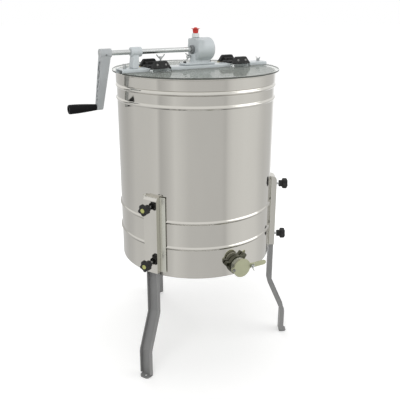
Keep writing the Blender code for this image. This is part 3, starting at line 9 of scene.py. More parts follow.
import bmesh
import bpy
from bpy.props import FloatProperty, FloatVectorProperty, IntProperty, PointerProperty
from mathutils import Matrix, Vector


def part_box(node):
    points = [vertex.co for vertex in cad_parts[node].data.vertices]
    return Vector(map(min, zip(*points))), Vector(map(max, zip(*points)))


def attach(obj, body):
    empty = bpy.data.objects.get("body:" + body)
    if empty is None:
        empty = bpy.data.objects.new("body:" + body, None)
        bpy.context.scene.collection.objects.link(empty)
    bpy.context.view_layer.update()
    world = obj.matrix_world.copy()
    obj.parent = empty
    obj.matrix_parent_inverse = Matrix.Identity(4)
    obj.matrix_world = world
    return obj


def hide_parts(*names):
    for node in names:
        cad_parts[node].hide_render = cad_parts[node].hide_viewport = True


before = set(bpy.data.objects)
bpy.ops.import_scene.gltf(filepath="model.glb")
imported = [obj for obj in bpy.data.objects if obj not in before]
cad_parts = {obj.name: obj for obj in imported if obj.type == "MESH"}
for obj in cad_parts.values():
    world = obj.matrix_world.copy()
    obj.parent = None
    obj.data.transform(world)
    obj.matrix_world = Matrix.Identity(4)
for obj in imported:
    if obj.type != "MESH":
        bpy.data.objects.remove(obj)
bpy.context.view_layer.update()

bl_info = {
    "name": "Honey extractor",
    "version": (1, 0, 0),
    "blender": (4, 5, 0),
    "location": "3D View > Sidebar > Extractor",
    "description": "Builds the finished pieces of a hand cranked honey extractor",
    "category": "Object",
}

STATIONS = (("left", -150), ("right", -30), ("rear", 90))
TO_X = Matrix.Rotation(math.pi / 2, 4, "Y")
TO_FRONT = Matrix.Rotation(math.pi / 2, 4, "X")
LEVELS, KNOB_REACH = (("low", 0.048), ("high", 0.230)), 0.2718
BEAM_NUT_REACH, BEAM_SCREW_PLACE = 0.242, (-0.123, 0, 0.6486)
BEADS = (0.568, 0.529, 0.182, 0.0985)
SHAFT_HEIGHT = 0.6726
BOLT_PLACES, BOX_SEAT, BOX_SCREW_HEIGHT = (-0.039, 0.051), 0.6253, 0.6505
GATE_HEIGHT, GATE_HOLE, PIVOT, CLAMP = 0.037, 0.0256, -0.030, 0.036
GROUND = -0.336
LID_LOW, LID_HIGH, LID_RADIUS = 0.6111, 0.6155, 0.2628
HINGE_PLACES, HINGE_REACH, HINGE_HEIGHT = (-0.1435, 0.1435), 0.028, 0.633


# Sizes and colours that can be changed in the sidebar
def length(name, text, value):
    return FloatProperty(name=name, description=text, default=value, unit="LENGTH")


class ExtractorSizes(bpy.types.PropertyGroup):
    drum_radius: length("Drum radius", "Outer radius of the drum's wall", 0.250)
    drum_wall: length("Drum wall", "Thickness of the drum's sheet", 0.0015)
    bead_rise: length("Bead rise", "How far each rolled bead stands out", 0.004)
    bead_half: length("Bead half height", "Half the height of a rolled bead", 0.0065)
    mesh_pitch: length("Mesh pitch", "Distance between two wires of the basket", 0.0085)
    mesh_wire: length("Mesh wire", "Radius of the basket's wires", 0.0008)
    thread_pitch: length("Thread pitch", "Pitch of the thread on the gate's tube", 0.0036)
    thread_rise: length("Thread rise", "Height of the thread on the gate's tube", 0.0009)
    screw_radius: length("Hinge screw radius", "Radius of a hinge screw's head", 0.0030)
    knob_radius: length("Knob radius", "Mean radius of a star knob's head", 0.0157)
    knob_lobe: length("Knob lobe", "How far the lobes of a star knob swing in and out", 0.0026)
    cap_radius: length("Knob cap radius", "Radius of the coloured cap in a star knob", 0.0068)
    edge_round: length("Edge rounding", "Rounding of formed sheet edges", 0.0007)
    cast_voxel: length("Casting detail", "Voxel size of the cast gearbox", 0.0010)
    round_steps: IntProperty(name="Round steps", description="Facets round a small turned piece",
                             default=48, min=12, max=128)


def colour(name, text, value):
    return FloatVectorProperty(name=name, description=text, subtype="COLOR", size=3,
                               min=0.0, max=1.0, default=value)


class ExtractorColours(bpy.types.PropertyGroup):
    polished: colour("Polished steel", "Drum and leg holders", (0.640, 0.622, 0.575))
    satin: colour("Satin steel", "Floor and basket", (0.560, 0.555, 0.520))
    zinc: colour("Zinc plate", "Shaft, brackets, nuts and screws", (0.600, 0.615, 0.610))
    leg: colour("Leg paint", "The three legs", (0.250, 0.250, 0.248))
    enamel: colour("Pale enamel", "Beam, bearing post and gearbox", (0.560, 0.600, 0.615))
    arm: colour("Arm casting", "The crank arm", (0.440, 0.462, 0.470))
    black: colour("Black plastic", "Knobs, hinges and grip", (0.010, 0.010, 0.011))
    cap: colour("Knob cap", "Caps in the star knobs", (0.420, 0.440, 0.140))
    acrylic: colour("Acrylic", "Clear lids", (0.700, 0.775, 0.860))
    # The lids' edge colour is painted shade of the gap below the lid
    rim: colour("Acrylic edge", "Sawn edges of the lids", (0.070, 0.075, 0.065))
    white: colour("White plastic", "Oil neck and floor bearing", (0.760, 0.780, 0.770))
    red: colour("Red plastic", "Oil plug", (0.560, 0.020, 0.012))
    floor: colour("Floor", "Floor under the extractor", (0.900, 0.900, 0.895))


def sizes():
    return bpy.context.scene.extractor_sizes


def colours():
    return bpy.context.scene.extractor_colours


# Materials
def wire(tree, source, target):
    tree.links.new(source, target)


def made(tree, kind, sockets):
    """A node with each named input set to a value or wired to another node's output."""
    node = tree.nodes.new(kind)
    for name, value in sockets.items():
        if isinstance(value, bpy.types.NodeSocket):
            wire(tree, value, node.inputs[name])
        else:
            node.inputs[name].default_value = value
    return node


def math_node(tree, operation, first, second=None):
    values = {0: first} if second is None else {0: first, 1: second}
    node = made(tree, "ShaderNodeMath", values)
    node.operation = operation
    return node.outputs[0]


def noise_node(tree, scale, detail=3.0, stretch=(1, 1, 1)):
    """Noise over the object's own coordinates, stretched along an axis."""
    place = tree.nodes.new("ShaderNodeTexCoord")
    mapping = made(tree, "ShaderNodeMapping", {"Scale": stretch, "Vector": place.outputs["Object"]})
    noise = made(tree, "ShaderNodeTexNoise",
                 {"Scale": scale, "Detail": detail, "Vector": mapping.outputs["Vector"]})
    return noise.outputs["Fac"]


def ranged(tree, value, low, high, start=0.3, end=0.7):
    return made(tree, "ShaderNodeMapRange", {"From Min": start, "From Max": end, "To Min": low,
                                             "To Max": high, "Value": value}).outputs["Result"]


def distance(tree, vector):
    node = made(tree, "ShaderNodeVectorMath", {0: vector})
    node.operation = "LENGTH"
    return node.outputs["Value"]


def blend_node(tree, factor, first, second):
    node = tree.nodes.new("ShaderNodeMix")
    node.data_type = "RGBA"
    wire(tree, factor, node.inputs["Factor"])
    node.inputs["A"].default_value = (*first, 1.0)
    node.inputs["B"].default_value = (*second, 1.0)
    return node.outputs["Result"]


EVEN, METAL = (1, 1, 1), {"Metallic": 1.0}

# Each finish: colour, its darker patches as a share, span of roughness, scale and stretch
# of the patches and of the grain, height and strength of the bump, and other sockets.
FINISHES = {
    # Rolled sheet: long soft dents bend the reflections, with faint upright streaks
    "polished_steel": ("polished", 0.94, (0.035, 0.10), (5.0, (1, 1, 0.35)), (4.5, (1, 1, 0.45)),
                       0.0035, 0.16, METAL),
    "holder_steel": ("polished", 0.93, (0.06, 0.12), (18.0, (1, 1, 0.3)), (12.0, (1, 1, 0.4)),
                     0.0008, 0.04, METAL),
    "flange_steel": ((0.74, 0.74, 0.66), 0.95, (0.24, 0.34), (18.0, (1, 1, 0.3)),
                     (12.0, (1, 1, 0.4)), 0.0008, 0.04, METAL),
    "satin_steel": ("satin", 0.86, (0.24, 0.36), (25.0, EVEN), (260.0, (0.08, 1, 1)), 0.0001, 0.12,
                    METAL),
    # Machined stainless, greyer and duller than the sheet
    "gate_steel": ((0.47, 0.47, 0.40), 0.88, (0.28, 0.42), (40.0, EVEN), (500.0, (0.15, 1, 1)),
                   0.00008, 0.15, METAL),
    "flap_steel": ((0.52, 0.53, 0.37), 0.92, (0.34, 0.48), (40.0, EVEN), (500.0, (1, 1, 0.15)),
                   0.00008, 0.15, METAL),
    # The gate's nut, polished, its colour darkened as a painted reflection of its shaded side
    "nut_steel": ((0.15, 0.15, 0.115), 0.60, (0.16, 0.30), (45.0, EVEN), (400.0, EVEN), 0.0001,
                  0.15, METAL),
    "floor_steel": ("satin", 0.90, (0.16, 0.30), (9.0, EVEN), (30.0, EVEN), 0.0006, 0.1, METAL),
    "zinc_plate": ("zinc", 0.93, (0.16, 0.26), (90.0, (0.2, 1, 1)), (500.0, (0.1, 1, 1)), 0.00003,
                   0.06, METAL),
    "screw_steel": ((0.30, 0.30, 0.29), 0.80, (0.22, 0.34), (90.0, EVEN), (500.0, EVEN), 0.00004,
                    0.1, METAL),
    "wire_steel": ((0.50, 0.50, 0.49), 0.80, (0.30, 0.45), (60.0, EVEN), (700.0, EVEN), 0.00005,
                   0.1, METAL),
    "leg_paint": ("leg", 0.88, (0.34, 0.50), (14.0, (1, 1, 0.5)), (650.0, EVEN), 0.00012, 0.35,
                  {"Coat Weight": 0.1}),
    "pale_enamel": ("enamel", 0.94, (0.26, 0.38), (22.0, EVEN), (420.0, EVEN), 0.00015, 0.25,
                    {"Coat Weight": 0.25, "Coat Roughness": 0.2}),
    "cast_enamel": ("enamel", 0.93, (0.30, 0.44), (30.0, EVEN), (240.0, EVEN), 0.0003, 0.22,
                    {"Coat Weight": 0.2, "Coat Roughness": 0.25}),
    "arm_enamel": ("arm", 0.90, (0.34, 0.48), (28.0, EVEN), (300.0, EVEN), 0.00025, 0.22,
                   {"Coat Weight": 0.1}),
    "bush_grey": ((0.20, 0.21, 0.215), 0.85, (0.34, 0.46), (60.0, EVEN), (500.0, EVEN), 0.0001,
                  0.2, {}),
    "black_plastic": ("black", 0.70, (0.30, 0.44), (70.0, EVEN), (1100.0, EVEN), 0.0001, 0.30,
                      {"Specular IOR Level": 0.09}),
    "grip_plastic": ("black", 0.75, (0.26, 0.38), (50.0, (0.3, 1, 1)), (900.0, (0.2, 1, 1)),
                     0.00012, 0.30, {"Specular IOR Level": 0.08}),
    "cap_plastic": ("cap", 0.93, (0.30, 0.40), (90.0, EVEN), (700.0, EVEN), 0.00004, 0.15, {}),
    "white_plastic": ("white", 0.95, (0.18, 0.30), (40.0, EVEN), (350.0, EVEN), 0.0001, 0.12,
                      {"Subsurface Weight": 0.3, "Subsurface Radius": (0.004, 0.004, 0.004),
                       "Subsurface Scale": 0.5}),
    "red_plastic": ("red", 0.85, (0.22, 0.32), (60.0, EVEN), (600.0, EVEN), 0.00006, 0.15,
                    {"Coat Weight": 0.2}),
    "gear_steel": ((0.36, 0.35, 0.33), 0.75, (0.28, 0.42), (80.0, EVEN), (400.0, EVEN), 0.0001,
                   0.2, METAL),
    # Clear glossy sheet that mirrors at a low view, with faint cleaning smears
    "clear_acrylic": ("acrylic", 0.99, (0.005, 0.03), (7.0, EVEN), (5.0, EVEN), 0.0003, 0.04,
                      {"Transmission Weight": 1.0, "IOR": 1.90, "Metallic": 0.40}),
    # Painted shade: the sawn edge is coloured dark to show the shaded gap below the lid
    "acrylic_edge": ("rim", 0.80, (0.22, 0.38), (30.0, EVEN), (300.0, (1, 1, 8)), 0.0001, 0.2,
                     {"IOR": 1.49}),
    "spacer_acrylic": ((0.90, 0.92, 0.90), 0.97, (0.02, 0.06), (12.0, EVEN), (160.0, (1, 1, 0.05)),
                       0.0004, 0.25, {"Transmission Weight": 1.0, "IOR": 1.49}),
    # Sides of the rear spacers, coloured ochre as a painted glow where they gather the light
    "spacer_side": ((0.78, 0.66, 0.30), 0.85, (0.12, 0.25), (40.0, EVEN), (160.0, (1, 1, 0.05)),
                    0.0002, 0.2, {"Transmission Weight": 0.1, "IOR": 1.49}),
}


def finish(name):
    """A material whose colour and roughness wander and whose surface has a fine grain."""
    known = bpy.data.materials.get(name)
    if known:
        return known
    base, shade, rough, tone, grain, bump, strength, sockets = FINISHES[name]
    base = tuple(getattr(colours(), base) if isinstance(base, str) else base)
    dark = tuple(channel * shade for channel in base)
    material = bpy.data.materials.new(name)
    material.use_nodes = True
    tree = material.node_tree
    shader = tree.nodes["Principled BSDF"]
    patches = noise_node(tree, tone[0], 4.0, tone[1])
    fine = noise_node(tree, grain[0], 2.0, grain[1])
    mottled = blend_node(tree, ranged(tree, patches, 0, 1), dark, base)
    wire(tree, mottled, shader.inputs["Base Color"])
    mixed = math_node(tree, "ADD", math_node(tree, "MULTIPLY", patches, 0.5),
                      math_node(tree, "MULTIPLY", fine, 0.5))
    wire(tree, ranged(tree, mixed, *rough), shader.inputs["Roughness"])
    height = made(tree, "ShaderNodeBump", {"Distance": bump, "Strength": strength, "Height": fine})
    wire(tree, height.outputs["Normal"], shader.inputs["Normal"])
    for socket, value in sockets.items():
        shader.inputs[socket].default_value = value
    return material


# Meshes
def clean(mesh, gap=1e-6):
    shape = bmesh.new()
    shape.from_mesh(mesh)
    bmesh.ops.remove_doubles(shape, verts=shape.verts, dist=gap)
    bmesh.ops.recalc_face_normals(shape, faces=shape.faces)
    shape.to_mesh(mesh)
    shape.free()
    return mesh


def solid(corners, faces):
    mesh = bpy.data.meshes.new("form")
    mesh.from_pydata(corners, [], faces)
    return clean(mesh)


def turned(outline, steps=0, closed=False):
    """Revolve (radius, height) points round Z; an open outline starts and ends on the axis."""
    steps = steps or sizes().round_steps
    corners = []
    for radius, height in outline:
        for step in range(steps):
            angle = math.tau * step / steps
            corners.append((radius * math.cos(angle), radius * math.sin(angle), height))
    faces = []
    count = len(outline)
    for ring in range(count if closed else count - 1):
        after = (ring + 1) % count
        for step in range(steps):
            beside = (step + 1) % steps
            faces.append((ring * steps + step, ring * steps + beside,
                          after * steps + beside, after * steps + step))
    return solid(corners, faces)


def rod(radius, low, high, steps=0):
    return turned([(0, low), (radius, low), (radius, high), (0, high)], steps)


def prism(outline, low, high):
    """Extrude an outline of (x, y) points from low to high."""
    count = len(outline)
    corners = [(x, y, z) for z in (low, high) for x, y in outline]
    faces = [tuple(range(count)), tuple(range(count, 2 * count))]
    for index in range(count):
        after = (index + 1) % count
        faces.append((index, after, count + after, count + index))
    return solid(corners, faces)


def loft(sections):
    """Skin a list of closed loops with as many points each, and cap both ends."""
    count = len(sections[0])
    corners = [point for section in sections for point in section]
    last = (len(sections) - 1) * count
    faces = [tuple(range(count)), tuple(range(last, last + count))]
    for ring in range(len(sections) - 1):
        for index in range(count):
            after = (index + 1) % count
            faces.append((ring * count + index, ring * count + after,
                          (ring + 1) * count + after, (ring + 1) * count + index))
    return solid(corners, faces)


def block(low, high):
    return prism([(low[0], low[1]), (high[0], low[1]), (high[0], high[1]), (low[0], high[1])],
                 low[2], high[2])


def frustum(low_sides, high_sides, low, high):
    loops = []
    for (x0, x1, y0, y1), z in ((low_sides, low), (high_sides, high)):
        loops.append([(x0, y0, z), (x1, y0, z), (x1, y1, z), (x0, y1, z)])
    return loft(loops)


def arc(radius, start, end, steps, middle=(0.0, 0.0)):
    points = []
    for step in range(steps + 1):
        angle = math.radians(start + (end - start) * step / steps)
        points.append((middle[0] + radius * math.cos(angle), middle[1] + radius * math.sin(angle)))
    return points


def moved(mesh, *steps):
    """Move a mesh by matrices or (x, y, z) shifts, the last one applied first."""
    for step in reversed(steps):
        mesh.transform(step if isinstance(step, Matrix) else Matrix.Translation(step))
    return mesh


def joined(*meshes):
    shape = bmesh.new()
    for mesh in meshes:
        shape.from_mesh(mesh)
    result = bpy.data.meshes.new("form")
    shape.to_mesh(result)
    shape.free()
    return result


def placed(name, data):
    """A new object in the scene, with this mesh, lamp or camera."""
    item = bpy.data.objects.new(name, data)
    bpy.context.collection.objects.link(item)
    return item


def evaluated(mesh, build):
    """Give a mesh to modifiers that build() adds, and return what comes out."""
    item = placed("form", mesh)
    build(item)
    bpy.context.view_layer.update()
    graph = bpy.context.evaluated_depsgraph_get()
    result = bpy.data.meshes.new_from_object(item.evaluated_get(graph))
    bpy.data.objects.remove(item)
    return result


def carved(mesh, tools, operation="DIFFERENCE"):
    helpers = []

    def build(item):
        for tool in tools:
            helper = placed("tool", tool)
            helpers.append(helper)
            step = item.modifiers.new("carve", "BOOLEAN")
            step.operation, step.solver, step.object = operation, "EXACT", helper

    result = evaluated(mesh, build)
    for helper in helpers:
        bpy.data.objects.remove(helper)
    return result


def rounded(mesh, width=0.0, steps=2, angle=30):
    width = width or sizes().edge_round

    def build(item):
        step = item.modifiers.new("round", "BEVEL")
        step.width, step.segments = width, steps
        step.limit_method, step.angle_limit = "ANGLE", math.radians(angle)
        step.miter_outer = "MITER_ARC"

    return evaluated(mesh, build)


def cad_copy(node, gap=0.0001):
    """A merged copy of a CAD node's mesh, its flat triangles joined."""
    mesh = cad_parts[node].data.copy()
    mesh.materials.clear()
    shape = bmesh.new()
    shape.from_mesh(mesh)
    bmesh.ops.remove_doubles(shape, verts=shape.verts, dist=gap)
    bmesh.ops.dissolve_degenerate(shape, edges=shape.edges, dist=gap)
    bmesh.ops.dissolve_limit(shape, angle_limit=math.radians(0.5), verts=shape.verts,
                             edges=shape.edges)
    shape.to_mesh(mesh)
    shape.free()
    return mesh


def piece(name, mesh, look, body, slot, *replaced, sharp=35):
    """Show a finished mesh as a named piece that rides on a CAD body."""
    mesh.shade_smooth()
    mesh.set_sharp_from_angle(angle=math.radians(sharp))

    def even_out(item):
        item.modifiers.new("even", "WEIGHTED_NORMAL").keep_sharp = True

    mesh = evaluated(mesh, even_out)
    mesh.name = name
    mesh.materials.clear()
    mesh.materials.append(finish(look))
    item = placed(name, mesh)
    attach(item, body)
    if replaced:
        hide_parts(*replaced)
    return item


def repaint(node, look):
    """Give a CAD node that stays its procedural finish."""
    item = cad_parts[node]
    item.data.materials.clear()
    item.data.materials.append(finish(look))


# Geometry Nodes
def node_tree(name, inputs):
    """A Geometry Nodes group with named inputs and one geometry in and out."""
    tree = bpy.data.node_groups.new(name, "GeometryNodeTree")
    tree.interface.new_socket("Geometry", in_out="OUTPUT", socket_type="NodeSocketGeometry")
    tree.interface.new_socket("Geometry", in_out="INPUT", socket_type="NodeSocketGeometry")
    for label, kind in inputs:
        tree.interface.new_socket(label, in_out="INPUT", socket_type=f"NodeSocket{kind}")
    return tree, tree.nodes.new("NodeGroupInput"), tree.nodes.new("NodeGroupOutput")


def end_tree(tree, source, start, end):
    """Realize the instances and set the material, as the tree's last two nodes."""
    real = made(tree, "GeometryNodeRealizeInstances", {0: source})
    paint = made(tree, "GeometryNodeSetMaterial",
                 {"Geometry": real.outputs[0], "Material": start.outputs["Material"]})
    wire(tree, paint.outputs[0], end.inputs["Geometry"])
    return tree


def grown(tree, base, values):
    """Run a tree on a base mesh with its inputs set, and return the plain mesh."""
    def build(item):
        step = item.modifiers.new("grow", "NODES")
        step.node_group = tree
        for socket in tree.interface.items_tree:
            if socket.in_out == "INPUT" and socket.name in values:
                step[socket.identifier] = values[socket.name]

    return evaluated(base, build)


def points_mesh(points):
    mesh = bpy.data.meshes.new("points")
    mesh.from_pydata(points, [], [])
    return mesh


def wire_screen_tree():
    """Upright and level wires at an even pitch, as a flat screen facing +X."""
    tree, start, end = node_tree("wire_screen", (
        ("Width", "Float"), ("Height", "Float"), ("Pitch", "Float"), ("Wire Radius", "Float"),
        ("Material", "Material")))
    join = tree.nodes.new("GeometryNodeJoinGeometry")
    inputs = start.outputs
    for across, along, side in (("Width", "Height", 1), ("Height", "Width", -1)):
        level = across == "Height"
        count = math_node(tree, "FLOOR", math_node(tree, "DIVIDE", inputs[across], inputs["Pitch"]))
        half = math_node(tree, "MULTIPLY", inputs[across], -0.5)
        other = math_node(tree, "MULTIPLY", half, -1.0)
        depth = math_node(tree, "MULTIPLY", inputs["Wire Radius"], side * 0.9)
        axis = "Z" if level else "Y"
        near, far = (made(tree, "ShaderNodeCombineXYZ", {"X": depth, axis: value}).outputs[0]
                     for value in (half, other))
        line = tree.nodes.new("GeometryNodeMeshLine")
        line.mode = "END_POINTS"
        for socket, value in (("Count", math_node(tree, "ADD", count, 1.0)),
                              ("Start Location", near), ("Offset", far)):
            wire(tree, value, line.inputs[socket])
        bar = made(tree, "GeometryNodeMeshCylinder",
                   {"Vertices": 6, "Radius": inputs["Wire Radius"], "Depth": inputs[along]})
        spread = made(tree, "GeometryNodeInstanceOnPoints",
                      {"Points": line.outputs[0], "Instance": bar.outputs["Mesh"],
                       "Rotation": (math.pi / 2 if level else 0, 0, 0)})
        wire(tree, spread.outputs[0], join.inputs[0])
    return end_tree(tree, join.outputs[0], start, end)


def thread_tree():
    """A round thread that winds up +Z."""
    tree, start, end = node_tree("thread", (
        ("Radius", "Float"), ("Turns", "Float"), ("Length", "Float"), ("Rise", "Float"),
        ("Material", "Material")))
    inputs = start.outputs
    spiral = made(tree, "GeometryNodeCurveSpiral",
                  {"Resolution": 48, "Rotations": inputs["Turns"], "Start Radius": inputs["Radius"],
                   "End Radius": inputs["Radius"], "Height": inputs["Length"]})
    section = made(tree, "GeometryNodeCurvePrimitiveCircle",
                   {"Resolution": 8, "Radius": inputs["Rise"]})
    sweep = made(tree, "GeometryNodeCurveToMesh",
                 {"Curve": spiral.outputs[0], "Profile Curve": section.outputs[0],
                  "Fill Caps": True})
    return end_tree(tree, sweep.outputs[0], start, end)


def fastener_tree():
    """A domed head in a raised ring on each point, turned to face one way."""
    tree, start, end = node_tree("fasteners", (
        ("Radius", "Float"), ("Ring", "Float"), ("Turn", "Vector"), ("Material", "Material")))
    inputs = start.outputs
    ring, section = (made(tree, "GeometryNodeCurvePrimitiveCircle",
                          {"Resolution": sides, "Radius": inputs[label]}).outputs[0]
                     for sides, label in ((20, "Radius"), (6, "Ring")))
    sweep = made(tree, "GeometryNodeCurveToMesh", {"Curve": ring, "Profile Curve": section})
    head = made(tree, "GeometryNodeMeshUVSphere",
                {"Segments": 16, "Rings": 8,
                 "Radius": math_node(tree, "MULTIPLY", inputs["Radius"], 0.80)})
    flat = made(tree, "GeometryNodeTransform",
                {"Geometry": head.outputs["Mesh"], "Scale": (1, 1, 0.35)})
    both = tree.nodes.new("GeometryNodeJoinGeometry")
    for part in (sweep, flat):
        wire(tree, part.outputs[0], both.inputs[0])
    spread = made(tree, "GeometryNodeInstanceOnPoints",
                  {"Points": inputs["Geometry"], "Instance": both.outputs[0],
                   "Rotation": inputs["Turn"]})
    return end_tree(tree, spread.outputs[0], start, end)


def tree_named(name, build):
    return bpy.data.node_groups.get(name) or build()


def fasteners(points, radius, ring, turn, material):
    return grown(tree_named("fasteners", fastener_tree), points_mesh(points),
                 {"Radius": radius, "Ring": ring, "Turn": turn, "Material": material})


# Operators
def dressed(node, look, body, slot, width=0.0, steps=2):
    """Replace a CAD node by a copy with rounded edges."""
    return piece(node + "_form", rounded(cad_copy(node), width, steps), look, body, slot, node)


class EXTRACTOR_OT_stage(bpy.types.Operator):
    """Floor, soft studio light and the camera"""
    bl_idname = "extractor.stage"
    bl_label = "Stage"

    def execute(self, context):
        self.lay_floor()
        self.stand_panels()
        self.light(context.scene)
        self.aim(context.scene)
        return {"FINISHED"}

    def lay_floor(self):
        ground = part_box("leg_rear")[0].z
        mesh = turned([(0, 0), (30.0, 0)], 64)
        item = placed("studio_floor", moved(mesh, (0, 0, ground)))
        material = bpy.data.materials.new("studio_floor")
        material.use_nodes = True
        tree = material.node_tree
        shader = tree.nodes["Principled BSDF"]
        for socket, value in (("Base Color", (*colours().floor, 1)), ("Roughness", 0.9),
                              ("Specular IOR Level", 0.1), ("Emission Color", (1, 1, 1, 1))):
            shader.inputs[socket].default_value = value
        path = tree.nodes.new("ShaderNodeLightPath")
        place = tree.nodes.new("ShaderNodeTexCoord")
        # Painted glow for camera rays, weaker near the extractor: a painted shade round it, which
        # also lets its shadow show
        glow = ranged(tree, distance(tree, place.outputs["Object"]), 0.20, 0.42, 0.40, 1.00)
        lift = math_node(tree, "MULTIPLY", path.outputs["Is Camera Ray"], glow)
        wire(tree, lift, shader.inputs["Emission Strength"])
        item.data.materials.append(material)

    def stand_panels(self):
        """A low ring of soft panels that only metal and gloss mirror."""
        mesh = turned([(0.40, -0.334), (0.80, -0.31), (1.30, 0.0), (1.60, 0.52)], 96)
        item = placed("studio_panels", mesh)
        for way in ("camera", "diffuse", "shadow", "transmission", "volume_scatter"):
            setattr(item, "visible_" + way, False)
        material = bpy.data.materials.new("studio_panels")
        material.use_nodes = True
        tree = material.node_tree
        tree.nodes.remove(tree.nodes["Principled BSDF"])
        glow = tree.nodes.new("ShaderNodeEmission")
        place = tree.nodes.new("ShaderNodeTexCoord")
        split = made(tree, "ShaderNodeSeparateXYZ", {0: place.outputs["Object"]})
        camera_side = 119.7  # degrees; the stops below count from the camera's side
        turn = math_node(tree, "ARCTAN2", split.outputs["Y"], split.outputs["X"])
        share = math_node(tree, "FRACT", math_node(
            tree, "ADD", math_node(tree, "DIVIDE", turn, math.tau),
            1.0 + camera_side / 360 + 0.5))
        ramp = tree.nodes.new("ShaderNodeValToRGB")
        stops = ramp.color_ramp.elements
        panels = ((-160, 1.0), (-152, 0.70), (-123, 0.64), (-110, 0.62), (-100, 0.67), (-91, 0.75),
                  (-62, 0.77), (-52, 0.81), (-47, 0.61), (-38, 0.69), (-32, 0.76), (-27, 0.84),
                  (-16, 0.77), (-8, 0.71), (34, 0.70), (39, 0.66), (44, 0.79), (50, 0.86),
                  (69, 0.90), (83, 0.88), (91, 0.86), (100, 0.78), (110, 0.71), (136, 0.69),
                  (148, 1.0))
        while len(stops) > 1:
            stops.remove(stops[-1])
        for index, (angle, level) in enumerate(panels):
            spot = (angle + 180) / 360
            stop = stops[0] if index == 0 else stops.new(spot)
            stop.position = spot
            stop.color = (level, level, level, 1)
        wire(tree, share, ramp.inputs["Fac"])
        wire(tree, ramp.outputs["Color"], glow.inputs["Color"])
        # The panels dim towards the extractor: painted shade near it, which glossy surfaces mirror
        flat = made(tree, "ShaderNodeCombineXYZ",
                    {"X": split.outputs["X"], "Y": split.outputs["Y"]})
        wire(tree, ranged(tree, distance(tree, flat.outputs[0]), 0.15, 1.0, 0.40, 0.72),
             glow.inputs["Strength"])
        wire(tree, glow.outputs[0], tree.nodes["Material Output"].inputs["Surface"])
        item.data.materials.append(material)

    def light(self, scene):
        world = bpy.data.worlds.new("studio")
        scene.world = world
        world.use_nodes = True
        tree = world.node_tree
        sky = tree.nodes["Background"]
        path = tree.nodes.new("ShaderNodeLightPath")
        seen = math_node(tree, "MAXIMUM", path.outputs["Is Camera Ray"], math_node(
            tree, "MAXIMUM", path.outputs["Is Glossy Ray"], path.outputs["Is Transmission Ray"]))
        sky.inputs["Color"].default_value = (1, 1, 1, 1)
        wire(tree, ranged(tree, seen, 0.66, 1.0, 0.0, 1.0), sky.inputs["Strength"])
        target = Vector((0, 0, 0.25))
        for name, spot, size, power in (("key_lamp", (-1.9, -2.3, 2.7), 2.4, 44),
                                        ("fill_lamp", (2.4, -1.6, 2.2), 2.4, 22),
                                        ("back_lamp", (0.6, 2.4, 2.6), 2.0, 20)):
            lamp = bpy.data.lights.new(name, "AREA")
            lamp.size, lamp.energy = size, power
            item = placed(name, lamp)
            item.visible_glossy = name == "fill_lamp"
            item.location = spot
            aim = target - Vector(spot)
            item.rotation_euler = aim.to_track_quat("-Z", "Y").to_euler()

    def aim(self, scene):
        lens = bpy.data.cameras.new("camera")
        lens.lens, lens.sensor_width = 50.0, 36.0
        lens.shift_x, lens.shift_y = 0.01105, -0.0403
        item = placed("camera", lens)
        item.location = (-0.8875, -1.5560, 0.8114)
        item.rotation_euler = (math.radians(90 - 18.07), 0, math.radians(-29.7))
        scene.camera = item
        scene.view_settings.view_transform = "Standard"


class EXTRACTOR_OT_drum(bpy.types.Operator):
    """Polished drum with rolled rim and beads, dished floor and bearing"""
    bl_idname = "extractor.drum"
    bl_label = "Drum"

    def execute(self, context):
        size = sizes()
        outer, inner = size.drum_radius, size.drum_radius - size.drum_wall
        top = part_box("drum_shell")[1].z
        collar = outer + 0.0025
        outline = [(inner, top - 0.0008), (inner + 0.0008, top)]
        outline += arc(0.0025, 90, -66, 8, (outer + 0.0015, top - 0.0025))
        outline += [(collar, top - 0.0325), (collar - 0.0004, top - 0.0342),
                    (outer + 0.0005, top - 0.0351), (outer, top - 0.0360)]
        for middle in BEADS:
            for step in range(17):
                share = step / 8 - 1
                rise = size.bead_rise * (0.5 + 0.5 * math.cos(math.pi * share)) ** 0.8
                outline.append((outer + rise, middle - size.bead_half * share))
        outline += [(outer, 0.0015), (outer - 0.0004, 0.0003), (outer - size.drum_wall / 2, 0),
                    (inner + 0.0003, 0.0003), (inner, 0.0015)]
        wall = turned(outline, 192, closed=True)
        hole = moved(rod(GATE_HOLE, 0, 0.02), (0, -0.24, GATE_HEIGHT), TO_FRONT)
        piece("drum_wall", carved(wall, [hole]), "polished_steel", "drum", "mirror_steel",
              "drum_shell", sharp=50)
        sheet = [(0.0153, 0.0450), (0.0400, 0.0414), (0.2445, 0.01068), (0.2470, 0.0098),
                 (0.2480, 0.0085), (0.2482, 0.0040), (0.2470, 0.0040), (0.2466, 0.0080),
                 (0.2440, 0.0096), (0.0400, 0.0402), (0.0153, 0.0438)]
        piece("drum_bottom", turned(sheet, 128, closed=True), "floor_steel", "drum", "satin_steel",
              "drum_floor")
        cup = [(0, 0), (0.0142, 0), (0.015, 0.0008), (0.015, 0.0453), (0.0272, 0.0453),
               (0.028, 0.0461), (0.028, 0.0485), (0.0272, 0.0493), (0.0135, 0.0493),
               (0.0125, 0.0503), (0.0125, 0.0645), (0.0117, 0.0653), (0.0073, 0.0653),
               (0.0073, 0.0453), (0, 0.0453)]
        piece("floor_cup", turned(cup), "white_plastic", "drum", "white_plastic", "floor_bearing")
        return {"FINISHED"}


